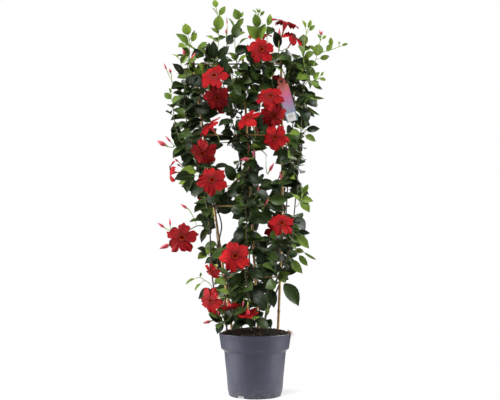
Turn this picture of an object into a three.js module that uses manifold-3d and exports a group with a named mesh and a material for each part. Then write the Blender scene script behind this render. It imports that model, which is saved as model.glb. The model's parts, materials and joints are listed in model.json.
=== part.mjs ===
// A flowering mandevilla on a bamboo trellis, standing in a round nursery pot.
// Millimetres, +Z up. The origin is the middle of the pot's foot, and the trellis faces -Y.
import * as THREE from "three";
import { mergeVertices } from "three/addons/utils/BufferGeometryUtils.js";
import Module from "manifold-3d";

const wasm = await Module();
wasm.setup();

// ---------------------------------------------------------------- driving dimensions
const GAP = 0.35; // between neighbours that touch
const POT = {
  height: 184,
  rimRadius: 110,
  collarHeight: 44,
  collarFootRadius: 103.2,
  shoulderDrop: 9,
  bodyTopRadius: 93.7,
  bodyFootRadius: 82.8,
  chamferHeight: 17,
  footRadius: 78,
  footInnerRadius: 73.5,
  wall: 3,
  floorUnderside: 9,
  floorTop: 12,
  segments: 30,
  notchWidth: 28,
  notchHeight: 8.5,
  notchAngles: [-124, -4, 116],
  drainHoles: 6,
  drainRing: 48,
  drainRadius: 5.5,
};
const SOIL = { edgeHeight: 182, shoulderHeight: 191, crownHeight: 199, segments: 20, holeSides: 5 };
const CANE = { radius: 4.1, knuckle: 0.9, knuckleHalf: 4, sides: 6, bottom: 40, firstKnuckle: 250, knuckleGap: 200 };
const BAR = { radius: 2.4, sides: 6, y: -7.2 };
const STEM = { sides: 4, step: 7 }; // leaves and pedicels may start at every step along a stem
const TWIG = { sides: 3, radius: 1.4 };
const BLOOM = { tube: 46, tubeRadius: 2.3, waist: 3.2, neckRadius: 10, throatRadius: 8, throatDepth: 13 };
const PETAL = [[2, 0.62, 0], [21, 1, 0.05], [56, 1, 0.11]]; // angle, reach and set-back of each petal's points
const LEAF = { keel: 1.8, arch: 0.065, boxThickness: 7, widest: 0.36, shoulder: 0.72, smallest: 33 };

// ---------------------------------------------------------------- the trellis
const CANES = {
  left: { top: 1052, route: [[-47, 0, 40], [-123, 0, 545], [-199, 0, 1052]] },
  middle: { top: 1046, route: [[17.5, 0, 40], [-9, 0, 520], [-38.5, 0, 1046]] },
  right: { top: 1060, route: [[61, 0, 40], [76, 0, 329], [85, 0, 640], [83, 0, 1060]] },
};
const BARS = [
  { z: 353, from: -109, to: 96 },
  { z: 571, from: -142, to: 107 },
  { z: 794, from: -176, to: 104 },
  { z: 1022, from: -211, to: 106 },
];

// ---------------------------------------------------------------- the plant
// A stem has a main route, thinner branches, and the leaves, buds and twigs on them.
// leaves: [from z or length, gap] spaces the pairs of leaves along a route.
// placed: [base x, base z, tip x, tip y, tip z, width, roll, light].
// buds: [base x, y, z, tip x, y, z, width].
const STEMS = [
  {
    name: "stem_left_cane",
    cane: "left",
    foot: [-86, -10],
    from: 248,
    top: 1036,
    radius: [2.6, 1.5],
    pairs: [300, 38],
    branches: [
      { route: [[-151, 0, 632], [-176, -8, 646], [-206, -34, 652]], gap: 24 },
      { route: [[-175, -15, 905], [-160, -42, 915], [-142, -50, 896]], gap: 30 },
      { route: [[-171, 0, 966], [-150, -36, 990], [-128, -44, 1010], [-110, -44, 1018]], gap: 30 },
      { route: [[-198, 14, 1014], [-196, 2, 1064], [-172, -30, 1066]], gap: 24 },
      { route: [[-117, 0, 409], [-136, -8, 418], [-150, -34, 424]], gap: 0 },
      { route: [[-142, -15, 690], [-120, -38, 672], [-98, -48, 652]], gap: 26 },
    ],
    placed: [
      [-148, 424, -172, -70, 440, 24, 15, 0],
      [-148, 424, -170, -76, 408, 26, 0, 1],
      [-150, 990, -141, -70, 1072, 26, 20, 0],
      [-128, 1010, -128, -80, 1074, 30, 0, 0],
    ],
    buds: [],
  },
  {
    name: "stem_left_free",
    route: [
      [-86, -30, 150], [-86, -30, 206], [-120, -34, 300], [-133, -28, 390],
      [-139, -26, 511], [-154, -30, 604], [-180, -34, 712], [-207, -34, 806], [-219, -30, 901],
      [-214, -28, 981], [-205, -30, 1040],
    ],
    radius: [2.7, 1.4],
    pairs: [540, 36],
    branches: [
      { route: [[-86, -30, 206], [-96, -52, 222]], gap: 0 },
      { route: [[-138, -26, 500], [-170, -46, 508], [-206, -52, 492], [-246, -54, 490]], gap: 0 },
      { route: [[-182, -34, 716], [-216, -56, 748], [-240, -62, 800], [-250, -58, 858], [-252, -54, 896]], gap: 36 },
      { route: [[-175, -33, 694], [-204, -54, 688], [-222, -58, 686]], gap: 0 },
      { route: [[-190, -34, 744], [-226, -44, 754], [-250, -50, 750]], gap: 0 },
      { route: [[-219, -30, 918], [-240, -46, 934], [-258, -54, 954]], gap: 0 },
      { route: [[-216, -28, 962], [-204, -52, 982]], gap: 0 },
    ],
    placed: [
      [-204, 868, -138, -80, 856, 36, 0, 0],
      [-172, 655, -238, -84, 640, 40, 0, 0],
      [-166, 645, -180, -86, 588, 40, 0, 0],
      [-170, 668, -224, -70, 672, 30, 0, 1],
      [-214, 962, -250, -62, 1000, 26, 0, 0],
      [-205, 930, -176, -70, 972, 30, 0, 0],
      [-210, 760, -248, -76, 708, 32, 0, 0],
      [-138, 505, -162, -62, 456, 16, 20, 0],
      [-104, 318, -170, -46, 290, 36, 0, 0],
      [-204, 975, -160, -66, 926, 32, 0, 0],
      [-138, 520, -198, -66, 520, 20, 35, 1],
      [-94, 222, -60, -66, 232, 30, 0, 0],
      [-94, 222, -138, -72, 244, 26, 0, 0],
      [-94, 222, -112, -66, 186, 24, 15, 0],
      [-218, 940, -256, -70, 926, 34, 10, 0],
    ],
    buds: [
      [-126, -58, 225, -156, -66, 218, 10],
      [-98, -56, 238, -87, -66, 291, 12],
      [-104, -60, 232, -110, -66, 261, 7],
      [-200, -56, 556, -225, -62, 572, 9],
      [-268, -58, 498, -294, -62, 516, 9],
      [-255, -56, 499, -257, -60, 531, 6],
      [-247, -58, 454, -287, -66, 437, 13],
      [-264, -56, 748, -300, -62, 766, 14],
      [-252, -52, 757, -275, -58, 783, 6],
      [-231, -60, 700, -244, -66, 709, 7],
      [-224, -60, 686, -237, -66, 694, 6],
      [-271, -58, 984, -281, -62, 1008, 7],
      [-259, -56, 976, -264, -60, 992, 9],
      [-214, -56, 1024, -223, -60, 1055, 9],
      [-198, -56, 1010, -184, -62, 1042, 12],
    ],
  },
  {
    name: "stem_middle_front",
    route: [
      [-12, -44, 150], [-12, -44, 206], [-22, -46, 300], [-28, -44, 404],
      [-24, -42, 492], [-34, -42, 617], [-52, -42, 741], [-77, -42, 866], [-102, -40, 961],
      [-120, -38, 1036],
    ],
    radius: [2.7, 1.4],
    pairs: [225, 36],
    branches: [
      { route: [[-56, -42, 760], [-86, -54, 762], [-112, -58, 758]], gap: 0 },
      { route: [[-30, -44, 560], [0, -52, 590], [20, -54, 620]], gap: 26 },
      { route: [[-36, -42, 625], [-62, -52, 640], [-84, -54, 612]], gap: 26 },
      { route: [[-92, -41, 925], [-62, -50, 950], [-34, -52, 985]], gap: 30 },
      { route: [[-46, -42, 700], [-20, -54, 735], [0, -56, 775]], gap: 28 },
      { route: [[-115, -38, 1020], [-98, -46, 1044], [-86, -48, 1072]], gap: 22 },
    ],
    placed: [
      [-26, 515, -62, -76, 455, 30, 10, 0],
      [-18, 330, 36, -88, 262, 40, 0, 0],
      [-84, 612, -58, -84, 590, 34, 0, 0],
      [-62, 640, -92, -84, 690, 36, 0, 0],
      [-84, 612, -84, -66, 575, 34, 0, 0],
      [-86, 1072, -66, -66, 1100, 26, 0, 0],
      [-26, 668, 22, -72, 632, 33, 0, 0],
      [-24, 350, -80, -74, 340, 34, 10, 0],
      [-118, 1020, -80, -62, 1066, 30, 0, 0],
      [-106, 965, -92, -70, 1030, 34, 0, 0],
    ],
    buds: [
      [-34, -68, 288, -38, -74, 264, 7],
      [-90, -42, 1103, -90, -46, 1124, 6],
      [-87, -42, 1132, -88, -46, 1162, 4],
      [-22, -56, 722, -17, -62, 756, 5],
      [-6, -56, 710, -2, -62, 741, 8],
      [-10, -60, 712, -45, -66, 706, 11],
      [-64, -60, 646, -46, -64, 643, 5],
    ],
  },
  {
    name: "stem_middle_cane",
    cane: "middle",
    foot: [17, -10],
    from: 260,
    top: 1030,
    radius: [2.6, 1.5],
    pairs: [270, 38],
    branches: [
      { route: [[5, 0, 522], [26, -36, 560], [44, -50, 596]], gap: 26 },
      { route: [[-7, 0, 743], [18, -40, 740], [36, -50, 722]], gap: 28 },
      { route: [[-19, 0, 966], [0, -34, 1000], [24, -42, 1030], [40, -44, 1062]], gap: 26 },
      { route: [[-32, -13, 915], [-50, -34, 980], [-60, -44, 1040], [-61, -46, 1062]], gap: 26 },
      { route: [[18, 0, 297], [36, -32, 305], [48, -46, 326]], gap: 28 },
      { route: [[-4, -15, 464], [24, -38, 440], [46, -46, 410]], gap: 26 },
    ],
    placed: [
      [40, 590, 2, -78, 606, 30, 0, 0],
      [-14, 1000, -23, -70, 1068, 34, 0, 0],
      [60, 318, 56, -52, 262, 30, 0, 0],
    ],
    buds: [
      [38, -54, 664, 58, -60, 699, 9],
      [22, -60, 560, 40, -66, 588, 8],
      [6, -58, 604, 12, -64, 628, 6],
    ],
  },
  {
    name: "stem_right_cane",
    cane: "right",
    foot: [22, 14],
    from: 345,
    top: 1034,
    radius: [2.6, 1.5],
    pairs: [330, 38],
    branches: [
      { route: [[71, 0, 632], [56, -34, 644], [38, -48, 636]], gap: 26 },
      { route: [[86, -15, 690], [106, -36, 712], [122, -46, 740]], gap: 28 },
      { route: [[87, 14, 1014], [70, 2, 1036], [76, -44, 1058]], gap: 0 },
      { route: [[82, -15, 912], [58, -20, 936], [54, -42, 990], [62, -46, 1034]], gap: 26 },
      { route: [[98, 0, 966], [108, -32, 1000], [122, -42, 1024], [142, -44, 1036]], gap: 24 },
      { route: [[68, 0, 855], [44, -34, 850], [26, -46, 860]], gap: 26 },
      { route: [[78, -15, 464], [98, -34, 470], [106, -46, 490]], gap: 28 },
    ],
    placed: [
      [76, 1056, 58, -78, 1106, 30, 0, 0],
      [88, 640, 142, -66, 632, 24, 10, 0],
    ],
    buds: [
      [81, -54, 640, 74, -60, 672, 6],
      [73, -58, 1064, 76, -64, 1120, 12],
    ],
  },
  {
    name: "stem_right_outer",
    route: [
      [26, -34, 150], [26, -34, 206], [44, -40, 300], [76, -42, 370], [107, -42, 450],
      [123, -42, 587], [134, -40, 710], [144, -38, 835], [148, -36, 929], [154, -34, 1018],
    ],
    radius: [2.6, 1.4],
    pairs: [380, 36],
    branches: [
      { route: [[142, -38, 780], [160, -50, 804]], gap: 0 },
      { route: [[149, -36, 945], [164, -40, 975], [174, -40, 1004]], gap: 30 },
      { route: [[130, -41, 655], [112, -56, 680], [108, -58, 716]], gap: 28 },
      { route: [[147, -37, 870], [124, -50, 884], [120, -54, 920]], gap: 28 },
    ],
    placed: [
      [70, 356, 92, -62, 338, 26, 0, 1],
      [72, 360, 130, -62, 268, 42, 0, 0],
      [30, 228, 46, -78, 206, 27, 0, 0],
      [30, 232, 6, -84, 208, 28, 0, 0],
      [147, 880, 160, -66, 818, 34, 0, 0],
      [146, 797, 198, -62, 803, 22, 15, 0],
      [146, 795, 184, -66, 762, 20, 10, 1],
      [112, 490, 160, -78, 438, 27, 10, 1],
      [112, 500, 166, -62, 484, 16, 35, 0],
      [96, 425, 140, -70, 364, 26, 20, 1],
      [148, 900, 188, -74, 866, 24, 0, 0],
      [148, 915, 212, -66, 895, 11, 50, 1],
      [147, 890, 197, -66, 842, 10, 50, 1],
      [140, 790, 104, -74, 784, 26, 0, 1],
    ],
    buds: [],
  },
  {
    name: "stem_back_left",
    route: [
      [-44, 46, 150], [-44, 46, 206], [-88, 50, 300], [-116, 52, 450],
      [-132, 54, 600], [-166, 56, 750], [-176, 54, 880], [-150, 50, 1000], [-136, 40, 1062],
    ],
    radius: [2.7, 1.4],
    pairs: [290, 44],
    branches: [
      { route: [[-160, 56, 720], [-200, 62, 760], [-222, 60, 800]], gap: 34 },
      { route: [[-176, 54, 890], [-214, 58, 930], [-226, 54, 980]], gap: 34 },
      { route: [[-128, 54, 570], [-160, 64, 600], [-190, 66, 620]], gap: 34 },
    ],
    placed: [],
    buds: [[-206, 66, 640, -232, 72, 654, 10]],
  },
  {
    name: "stem_back_middle",
    route: [
      [0, 56, 150], [0, 56, 206], [12, 58, 300], [-8, 60, 450],
      [12, 60, 600], [0, 60, 750], [16, 58, 900], [28, 54, 1020], [44, 44, 1085],
    ],
    radius: [2.7, 1.4],
    pairs: [225, 44],
    branches: [
      { route: [[-6, 60, 430], [-38, 64, 460], [-60, 66, 500]], gap: 34 },
      { route: [[6, 60, 640], [-34, 66, 670], [-60, 66, 710]], gap: 34 },
      { route: [[8, 59, 830], [-30, 64, 860], [-64, 64, 900], [-80, 60, 950]], gap: 34 },
    ],
    placed: [],
    buds: [[-72, 66, 1002, -78, 72, 1034, 9]],
  },
  {
    name: "stem_back_right",
    route: [
      [30, 42, 150], [30, 42, 206], [52, 46, 300], [88, 50, 410],
      [102, 54, 600], [112, 56, 750], [128, 54, 900], [122, 48, 1020], [128, 40, 1058],
    ],
    radius: [2.7, 1.4],
    pairs: [290, 44],
    branches: [
      { route: [[110, 55, 690], [140, 58, 720], [150, 56, 760]], gap: 34 },
      { route: [[124, 54, 880], [160, 52, 910], [172, 48, 950]], gap: 34 },
    ],
    placed: [],
    buds: [],
  },
];

// Young light green shoots. Each stands on the nearest stem.
const SHOOTS = [
  {
    name: "shoot_crown_left",
    route: [[-119, -46, 1026], [-114, -50, 1070], [-112, -54, 1110], [-113, -56, 1150], [-122, -56, 1190]],
    placed: [
      [-112, 1112, -110, -74, 1158, 34, 0, 1],
      [-114, 1154, -138, -62, 1187, 15, 50, 1],
      [-114, 1158, -92, -62, 1190, 18, 20, 1],
      [-113, 1096, -139, -54, 1125, 16, 35, 1],
      [-122, 1188, -127, -62, 1212, 19, 0, 1],
    ],
  },
  {
    name: "shoot_crown_second",
    route: [[-61, -54, 1050], [-63, -56, 1090], [-60, -56, 1122], [-50, -56, 1148]],
    placed: [
      [-50, 1146, -63, -72, 1178, 27, 0, 1],
      [-50, 1150, -36, -62, 1172, 10, 20, 1],
      [-60, 1122, -35, -66, 1150, 18, 25, 1],
      [-63, 1110, -83, -58, 1154, 13, 40, 1],
      [-63, 1090, -52, -42, 1126, 36, 0, 0],
    ],
  },
  {
    name: "shoot_crown_third",
    route: [[8, -46, 1046], [10, -50, 1080], [10, -54, 1120], [10, -58, 1166]],
    placed: [
      [10, 1120, 0, -74, 1161, 28, 0, 1],
      [10, 1158, -10, -62, 1178, 9, 30, 1],
      [10, 1165, 4, -62, 1184, 8, 30, 1],
      [10, 1165, 15, -62, 1182, 7, 30, 1],
      [10, 1156, 30, -64, 1174, 10, 30, 1],
      [10, 1078, -25, -68, 1127, 33, 0, 0],
      [10, 1082, 32, -78, 1128, 28, 0, 1],
    ],
  },
  {
    name: "shoot_crown_upright",
    route: [[40, -53, 1052], [37, -58, 1090], [34, -60, 1122]],
    placed: [
      [35, 1116, 48, -66, 1164, 20, 30, 1],
      [36, 1104, 18, -60, 1146, 14, 45, 1],
    ],
  },
  {
    name: "shoot_left_crown",
    route: [[-207, -38, 1026], [-204, -48, 1060], [-205, -54, 1088], [-209, -56, 1104]],
    placed: [
      [-207, 1098, -215, -70, 1132, 29, 0, 1],
      [-208, 1104, -227, -60, 1130, 8, 20, 1],
      [-204, 1068, -244, -66, 1101, 27, 10, 1],
      [-204, 1068, -180, -62, 1106, 17, 25, 1],
      [-204, 1080, -186, -60, 1114, 8, 30, 1],
      [-204, 1060, -232, -84, 1044, 32, 0, 1],
    ],
  },
  {
    name: "shoot_left_middle",
    route: [[-222, -40, 980], [-228, -52, 1000], [-230, -60, 1020]],
    placed: [
      [-229, 1016, -256, -64, 1036, 14, 40, 1],
      [-229, 1010, -208, -68, 1034, 20, 25, 1],
    ],
  },
  {
    name: "shoot_left_side",
    route: [[-252, -60, 884], [-256, -66, 892], [-255, -70, 904]],
    placed: [
      [-255, 892, -277, -70, 913, 21, 0, 1],
      [-255, 894, -228, -78, 892, 22, 0, 1],
      [-255, 904, -262, -70, 926, 9, 30, 1],
    ],
  },
  {
    name: "shoot_right_crown",
    route: [[152, -44, 1008], [150, -50, 1040], [155, -54, 1080], [160, -56, 1110]],
    placed: [
      [159, 1106, 146, -62, 1146, 12, 25, 1],
      [160, 1110, 174, -62, 1147, 13, 20, 1],
      [159, 1104, 186, -62, 1129, 13, 20, 1],
      [151, 1050, 147, -30, 1078, 24, 0, 0],
      [151, 1046, 164, -30, 1074, 26, 0, 1],
      [150, 1030, 184, -66, 1042, 25, 0, 0],
      [150, 1026, 132, -74, 1052, 28, 0, 0],
    ],
  },
  {
    name: "shoot_right_tip",
    route: [[177, -49, 996], [188, -54, 1022], [196, -56, 1054], [204, -56, 1088]],
    branches: [{ route: [[194, -54, 1042], [234, -56, 1052], [262, -58, 1062]] }],
    placed: [
      [192, 1030, 199, -48, 1074, 32, 0, 1],
      [203, 1080, 193, -60, 1102, 9, 20, 1],
      [203, 1080, 221, -60, 1097, 9, 20, 1],
      [218, 1048, 238, -72, 1062, 22, 0, 0],
      [234, 1054, 234, -64, 1090, 15, 0, 1],
      [258, 1060, 288, -62, 1070, 9, 20, 1],
      [260, 1061, 260, -60, 1079, 6, 20, 1],
      [190, 1022, 230, -64, 1030, 16, 40, 0],
    ],
    buds: [
      [203, -60, 1096, 200, -62, 1114, 6],
      [205, -58, 1094, 209, -60, 1112, 6],
    ],
  },
  {
    name: "shoot_right_side",
    route: [[152, -44, 940], [162, -58, 952], [180, -66, 952], [198, -68, 958]],
    placed: [
      [168, 954, 150, -78, 972, 15, 0, 1],
      [178, 952, 196, -84, 974, 18, 0, 1],
      [197, 957, 218, -70, 952, 12, 10, 1],
      [198, 958, 210, -68, 980, 8, 20, 1],
      [176, 952, 192, -78, 928, 24, 0, 0],
      [164, 952, 206, -70, 922, 13, 30, 1],
    ],
  },
  {
    name: "shoot_right_low",
    route: [[126, -48, 566], [136, -58, 580], [142, -62, 604]],
    placed: [
      [141, 594, 160, -68, 632, 15, 10, 1],
      [138, 584, 174, -74, 580, 21, 10, 1],
      [136, 580, 162, -80, 546, 26, 0, 0],
      [137, 582, 112, -74, 600, 16, 20, 1],
      [142, 602, 137, -64, 628, 7, 20, 1],
    ],
  },
  {
    name: "shoot_left_low",
    route: [[-126, -42, 316], [-136, -52, 334], [-150, -58, 344], [-166, -60, 354]],
    placed: [
      [-166, 354, -208, -64, 332, 15, 40, 1],
      [-150, 344, -180, -68, 312, 14, 40, 1],
      [-165, 353, -162, -62, 368, 7, 20, 1],
    ],
  },
  {
    name: "shoot_right_drop",
    route: [[112, -48, 430], [120, -56, 434], [128, -60, 440]],
    placed: [
      [122, 435, 146, -72, 428, 17, 0, 1],
      [128, 440, 184, -64, 404, 8, 30, 1],
      [124, 437, 106, -74, 452, 14, 0, 1],
      [118, 434, 156, -70, 386, 19, 20, 1],
    ],
  },
];

// Blooms: [centre x, y, z, facing x, y, z, diameter, turn of the petals in degrees].
const BLOOMS = [
  [-124, -104, 956, -0.1, -0.88, 0.44, 92, 10],
  [-116, -88, 893, 0.1, -0.85, -0.5, 84, 40],
  [96, -60, 1140, 0.27, -0.3, 0.91, 90, 0],
  [122, -66, 1088, 0.5, -0.55, 0.67, 76, 20],
  [20, -96, 1040, 0.22, -0.96, 0.1, 88, 30],
  [14, 2, 1122, -0.05, -0.3, 0.95, 78, 15],
  [46, -108, 892, 0.02, -0.88, 0.46, 88, 55],
  [56, -88, 838, 0.15, -0.82, -0.55, 84, 20],
  [60, -92, 770, -0.28, -0.95, -0.1, 82, 57],
  [-22, -78, 832, -0.45, -0.62, 0.64, 84, 35],
  [-140, -84, 808, -0.62, -0.45, 0.64, 84, 5],
  [-157, -80, 724, -0.25, -0.84, -0.48, 86, 25],
  [-126, -122, 637, -0.04, -0.98, 0.2, 94, 52],
  [-257, -68, 667, -0.97, -0.15, -0.05, 68, 15],
  [-216, -102, 469, -0.05, -0.98, 0.18, 97, 20],
  [-58, -126, 415, 0.04, -0.98, 0.16, 94, 45],
  [-127, -92, 370, -0.5, -0.6, -0.6, 58, 0],
  [79, -96, 512, 0.12, -0.9, 0.42, 78, 30],
  [-131, -100, 286, -0.58, -0.78, -0.22, 84, 64],
  [-73, -78, 262, 0.28, -0.3, -0.91, 66, 10],
  [-21, -84, 243, 0.05, 0.3, -0.95, 64, 48],
  [-128, 118, 930, -0.12, 0.94, 0.26, 88, 22],
  [66, 120, 985, 0.2, 0.9, 0.36, 86, 50],
  [-166, 120, 640, -0.3, 0.93, 0.12, 90, 8],
  [32, 124, 860, 0.02, 0.96, 0.2, 92, 33],
  [74, 114, 505, 0.22, 0.95, 0.1, 88, 61],
  [-66, 122, 410, -0.1, 0.95, 0.2, 90, 18],
];

// The care label: a plain strip with a round, pierced head.
const TAG = { length: 132, width: 36, headRadius: 13, hole: 5, shoulder: 11, thickness: 0.9, lean: 15.3 };
const TAG_HANG = [82.5, -24, 961]; // the middle of the label's hole
const TAG_TIE = { radius: 0.8, sides: 3 };

// Seen from the front, the leaf tips stay inside this outline: [x, z] all the way round.
const OUTLINE = [
  [-128, 196], [-160, 206], [-132, 240], [-165, 285], [-165, 310], [-130, 330], [-112, 352], [-118, 380],
  [-168, 400], [-168, 440], [-140, 450], [-150, 480], [-170, 500], [-195, 530], [-190, 560], [-172, 575],
  [-200, 600], [-225, 620], [-246, 640], [-240, 670], [-225, 690], [-240, 712], [-262, 735], [-240, 760],
  [-250, 790], [-275, 810], [-258, 830], [-284, 852], [-258, 870], [-280, 900], [-262, 925], [-250, 950],
  [-262, 985], [-240, 1010], [-235, 1040], [-222, 1065], [-190, 1062], [-165, 1052], [-150, 1085], [-120, 1098],
  [-90, 1100], [-65, 1110], [-48, 1082], [-30, 1112], [0, 1118], [50, 1128], [85, 1118], [100, 1075],
  [115, 1058], [150, 1052], [170, 1088], [182, 1060], [190, 1030], [215, 1010], [205, 985], [180, 970],
  [195, 930], [180, 905], [205, 880], [190, 845], [175, 822], [165, 800], [160, 770], [150, 740],
  [146, 700], [140, 660], [150, 635], [165, 610], [172, 580], [160, 548], [145, 530], [150, 500],
  [165, 478], [160, 440], [140, 425], [150, 390], [135, 368], [112, 352], [96, 330], [78, 330],
  [60, 300], [48, 262], [38, 240], [40, 200], [0, 196],
];
// Places that stay open, seen from the front: [least x, greatest x, least z, greatest z].
const CLEARINGS = [
  [-124, -66, 702, 740], [6, 54, 706, 742], [28, 74, 652, 694], [-118, -80, 456, 546], [-88, -66, 642, 668],
  [98, 126, 550, 590], [58, 90, 818, 842], [-128, -100, 828, 854], [10, 44, 490, 508], [-54, -24, 866, 878],
  [-98, -70, 374, 400], [40, 64, 196, 250], [-20, -8, 396, 420],
];

// ---------------------------------------------------------------- vectors and seeded draws
const v3 = (p) => new THREE.Vector3(p[0], p[1], p[2]);
const rad = THREE.MathUtils.degToRad;
const UP = new THREE.Vector3(0, 0, 1);

// A small multiplicative generator, so that every run draws the same numbers.
function drawsFrom(seed) {
  let state = seed;
  return () => {
    state = (state * 16807) % 2147483647;
    return state / 2147483647;
  };
}

// Unit vector along a, less its share along n.
function across(a, n) {
  return a.clone().addScaledVector(n, -a.dot(n)).normalize();
}

// Points along a smooth route through the given points.
function sampleRoute(points, perSpan) {
  const curve = new THREE.CatmullRomCurve3(points, false, "catmullrom", 0.5);
  return curve.getPoints(perSpan * (points.length - 1));
}

// ---------------------------------------------------------------- closed meshes
function meshFrom(points, faces) {
  const geometry = new THREE.BufferGeometry().setFromPoints(points);
  geometry.setIndex(faces.flat());
  return geometry;
}

// Joins rings of points, of any count down to one, into one closed body. Going out to a fuller ring and
// coming back from it, the faces fall in the same way, so that the two sides of a petal never cross.
function loft(rings) {
  const starts = rings.map((ring, r) => rings.slice(0, r).reduce((sum, before) => sum + before.length, 0));
  const faces = [];
  for (let r = 0; r + 1 < rings.length; r++) {
    const [n, m] = [rings[r].length, rings[r + 1].length];
    const count = Math.max(n, m);
    const near = (i) => starts[r] + (Math.floor((i * n) / count) % n);
    const far = (i) => starts[r + 1] + (Math.floor((i * m) / count) % m);
    for (let i = 0; i < count; i++) {
      const [first, second] = n > m ? [far(i), near(i + 1)] : [far(i + 1), near(i)];
      if (near(i) !== near(i + 1)) faces.push([near(i), near(i + 1), first]);
      if (far(i) !== far(i + 1)) faces.push([second, far(i + 1), far(i)]);
    }
  }
  const last = rings.length - 1;
  for (let i = 1; i + 1 < rings[0].length; i++) faces.push([0, i + 1, i]);
  for (let i = 1; i + 1 < rings[last].length; i++) faces.push([0, i, i + 1].map((k) => starts[last] + k));
  return meshFrom(rings.flat(), faces);
}

function solidOf(geometry) {
  const bare = geometry.clone();
  bare.deleteAttribute("normal");
  bare.deleteAttribute("uv");
  const merged = mergeVertices(bare, 1e-4);
  return new wasm.Manifold(
    new wasm.Mesh({
      numProp: 3,
      vertProperties: merged.attributes.position.array,
      triVerts: new Uint32Array(merged.index.array),
    }),
  );
}

function geometryOf(solid) {
  const mesh = solid.getMesh();
  const geometry = new THREE.BufferGeometry();
  geometry.setAttribute("position", new THREE.BufferAttribute(mesh.vertProperties, 3));
  geometry.setIndex(new THREE.BufferAttribute(mesh.triVerts, 1));
  return geometry;
}

// A round section of a tube: its points turn the way that leaves the faces outwards.
function ring(centre, side, other, radius, sides) {
  return Array.from({ length: sides }, (_, i) => {
    const angle = (2 * Math.PI * i) / sides;
    return centre
      .clone()
      .addScaledVector(side, radius * Math.cos(angle))
      .addScaledVector(other, radius * Math.sin(angle));
  });
}

// A tapering tube along points, with a radius for each: no radius makes it end in a point there.
function tube(points, radii, sides, endDirection) {
  let side = null;
  const last = points.length - 1;
  const rings = points.map((p, i) => {
    if (!radii[i]) return [p];
    const along = points[Math.min(i + 1, last)].clone().sub(points[Math.max(i - 1, 0)]).normalize();
    if (i === last && endDirection) along.copy(endDirection);
    const hint = side || (Math.abs(along.y) < 0.9 ? new THREE.Vector3(0, 1, 0) : UP);
    side = across(hint, along);
    return ring(p, side, new THREE.Vector3().crossVectors(along, side), radii[i], sides);
  });
  return loft(rings);
}

// ---------------------------------------------------------------- boxes that keep pieces apart
const boxes = [];

function makeBox(owner, kind, centre, axes, half) {
  return { owner, kind, centre, axes, half, reach: Math.hypot(half[0], half[1], half[2]) };
}

// A box round the straight piece from a to b.
function segmentBox(owner, kind, a, b, radius) {
  const along = b.clone().sub(a);
  const length = along.length();
  along.normalize();
  const side = across(Math.abs(along.y) < 0.9 ? new THREE.Vector3(0, 1, 0) : UP, along);
  const other = new THREE.Vector3().crossVectors(along, side);
  const centre = a.clone().add(b).multiplyScalar(0.5);
  return makeBox(owner, kind, centre, [along, side, other], [length / 2, radius, radius]);
}

// The separating axis test on two boxes.
function boxesMeet(a, b) {
  const between = b.centre.clone().sub(a.centre);
  if (between.length() > a.reach + b.reach) return false;
  const axes = [...a.axes, ...b.axes];
  for (const p of a.axes) for (const q of b.axes) axes.push(new THREE.Vector3().crossVectors(p, q));
  for (const axis of axes) {
    if (axis.lengthSq() < 1e-6) continue;
    let spread = 0;
    for (let i = 0; i < 3; i++) {
      spread += a.half[i] * Math.abs(axis.dot(a.axes[i])) + b.half[i] * Math.abs(axis.dot(b.axes[i]));
    }
    if (Math.abs(between.dot(axis)) > spread) return false;
  }
  return true;
}

function isClear(box) {
  return !boxes.some((other) => !(other.owner === box.owner && other.kind === "stem") && boxesMeet(box, other));
}

// ---------------------------------------------------------------- leaves
// base and tip are points, face is the way the upper side looks.
function makeLeaf(owner, base, tip, width, face) {
  const along = tip.clone().sub(base);
  const length = along.length();
  along.normalize();
  const normal = across(face, along);
  const side = new THREE.Vector3().crossVectors(normal, along);
  const centre = base.clone().lerp(tip, 0.57).addScaledVector(normal, 0.02 * length);
  const half = [0.43 * length, width / 2 + 0.6, LEAF.boxThickness / 2];
  const box = makeBox(owner, "leaf", centre, [along, side, normal], half);
  return { base, tip, length, width, side, normal, box };
}

// The blade is flat above with a keel below it, and a long leaf's blade starts farther from the stem.
function leafGeometry(leaf) {
  const stalk = Math.max(0, leaf.length - 1.9 * leaf.width) / leaf.length;
  const at = (share, out, down) => {
    const t = stalk + (1 - stalk) * share;
    const lift = LEAF.arch * leaf.length * 4 * t * (1 - t) - down;
    const spot = leaf.base.clone().lerp(leaf.tip, t).addScaledVector(leaf.normal, lift);
    return spot.addScaledVector(leaf.side, (out * leaf.width) / 2);
  };
  const [wide, high] = [LEAF.widest, LEAF.shoulder];
  const points = [leaf.base, leaf.tip, at(wide, 0, LEAF.keel), at(wide, 1, 0), at(wide, -1, 0)];
  if (leaf.width < LEAF.smallest) {
    return meshFrom(points, [[0, 4, 3], [0, 3, 2], [0, 2, 4], [3, 4, 1], [2, 3, 1], [4, 2, 1]]);
  }
  points.push(at(high, 0.72, 0), at(high, -0.72, 0));
  const above = [[0, 4, 3], [3, 4, 6], [3, 6, 5], [5, 6, 1]];
  const below = [[0, 3, 2], [0, 2, 4], [2, 3, 5], [2, 5, 1], [2, 1, 6], [2, 6, 4]];
  return meshFrom(points, [...above, ...below]);
}

// ---------------------------------------------------------------- stems and shoots
// A stem that climbs a cane in a slow left-hand twist, behind each crossbar and in front between them.
function twineRoute(cane, { foot, from, top }) {
  const [turn, radius] = [223, 15];
  const at = (z) => {
    const spot = pointAtHeight(cane, z);
    const angle = Math.PI / 2 + (2 * Math.PI * (z - BARS[0].z)) / turn;
    return [spot.x + radius * Math.cos(angle), radius * Math.sin(angle), z];
  };
  const points = [[...foot, 150], [...foot, 206]];
  for (let z = from; z < top; z += turn / 6) points.push(at(z));
  return points;
}

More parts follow.
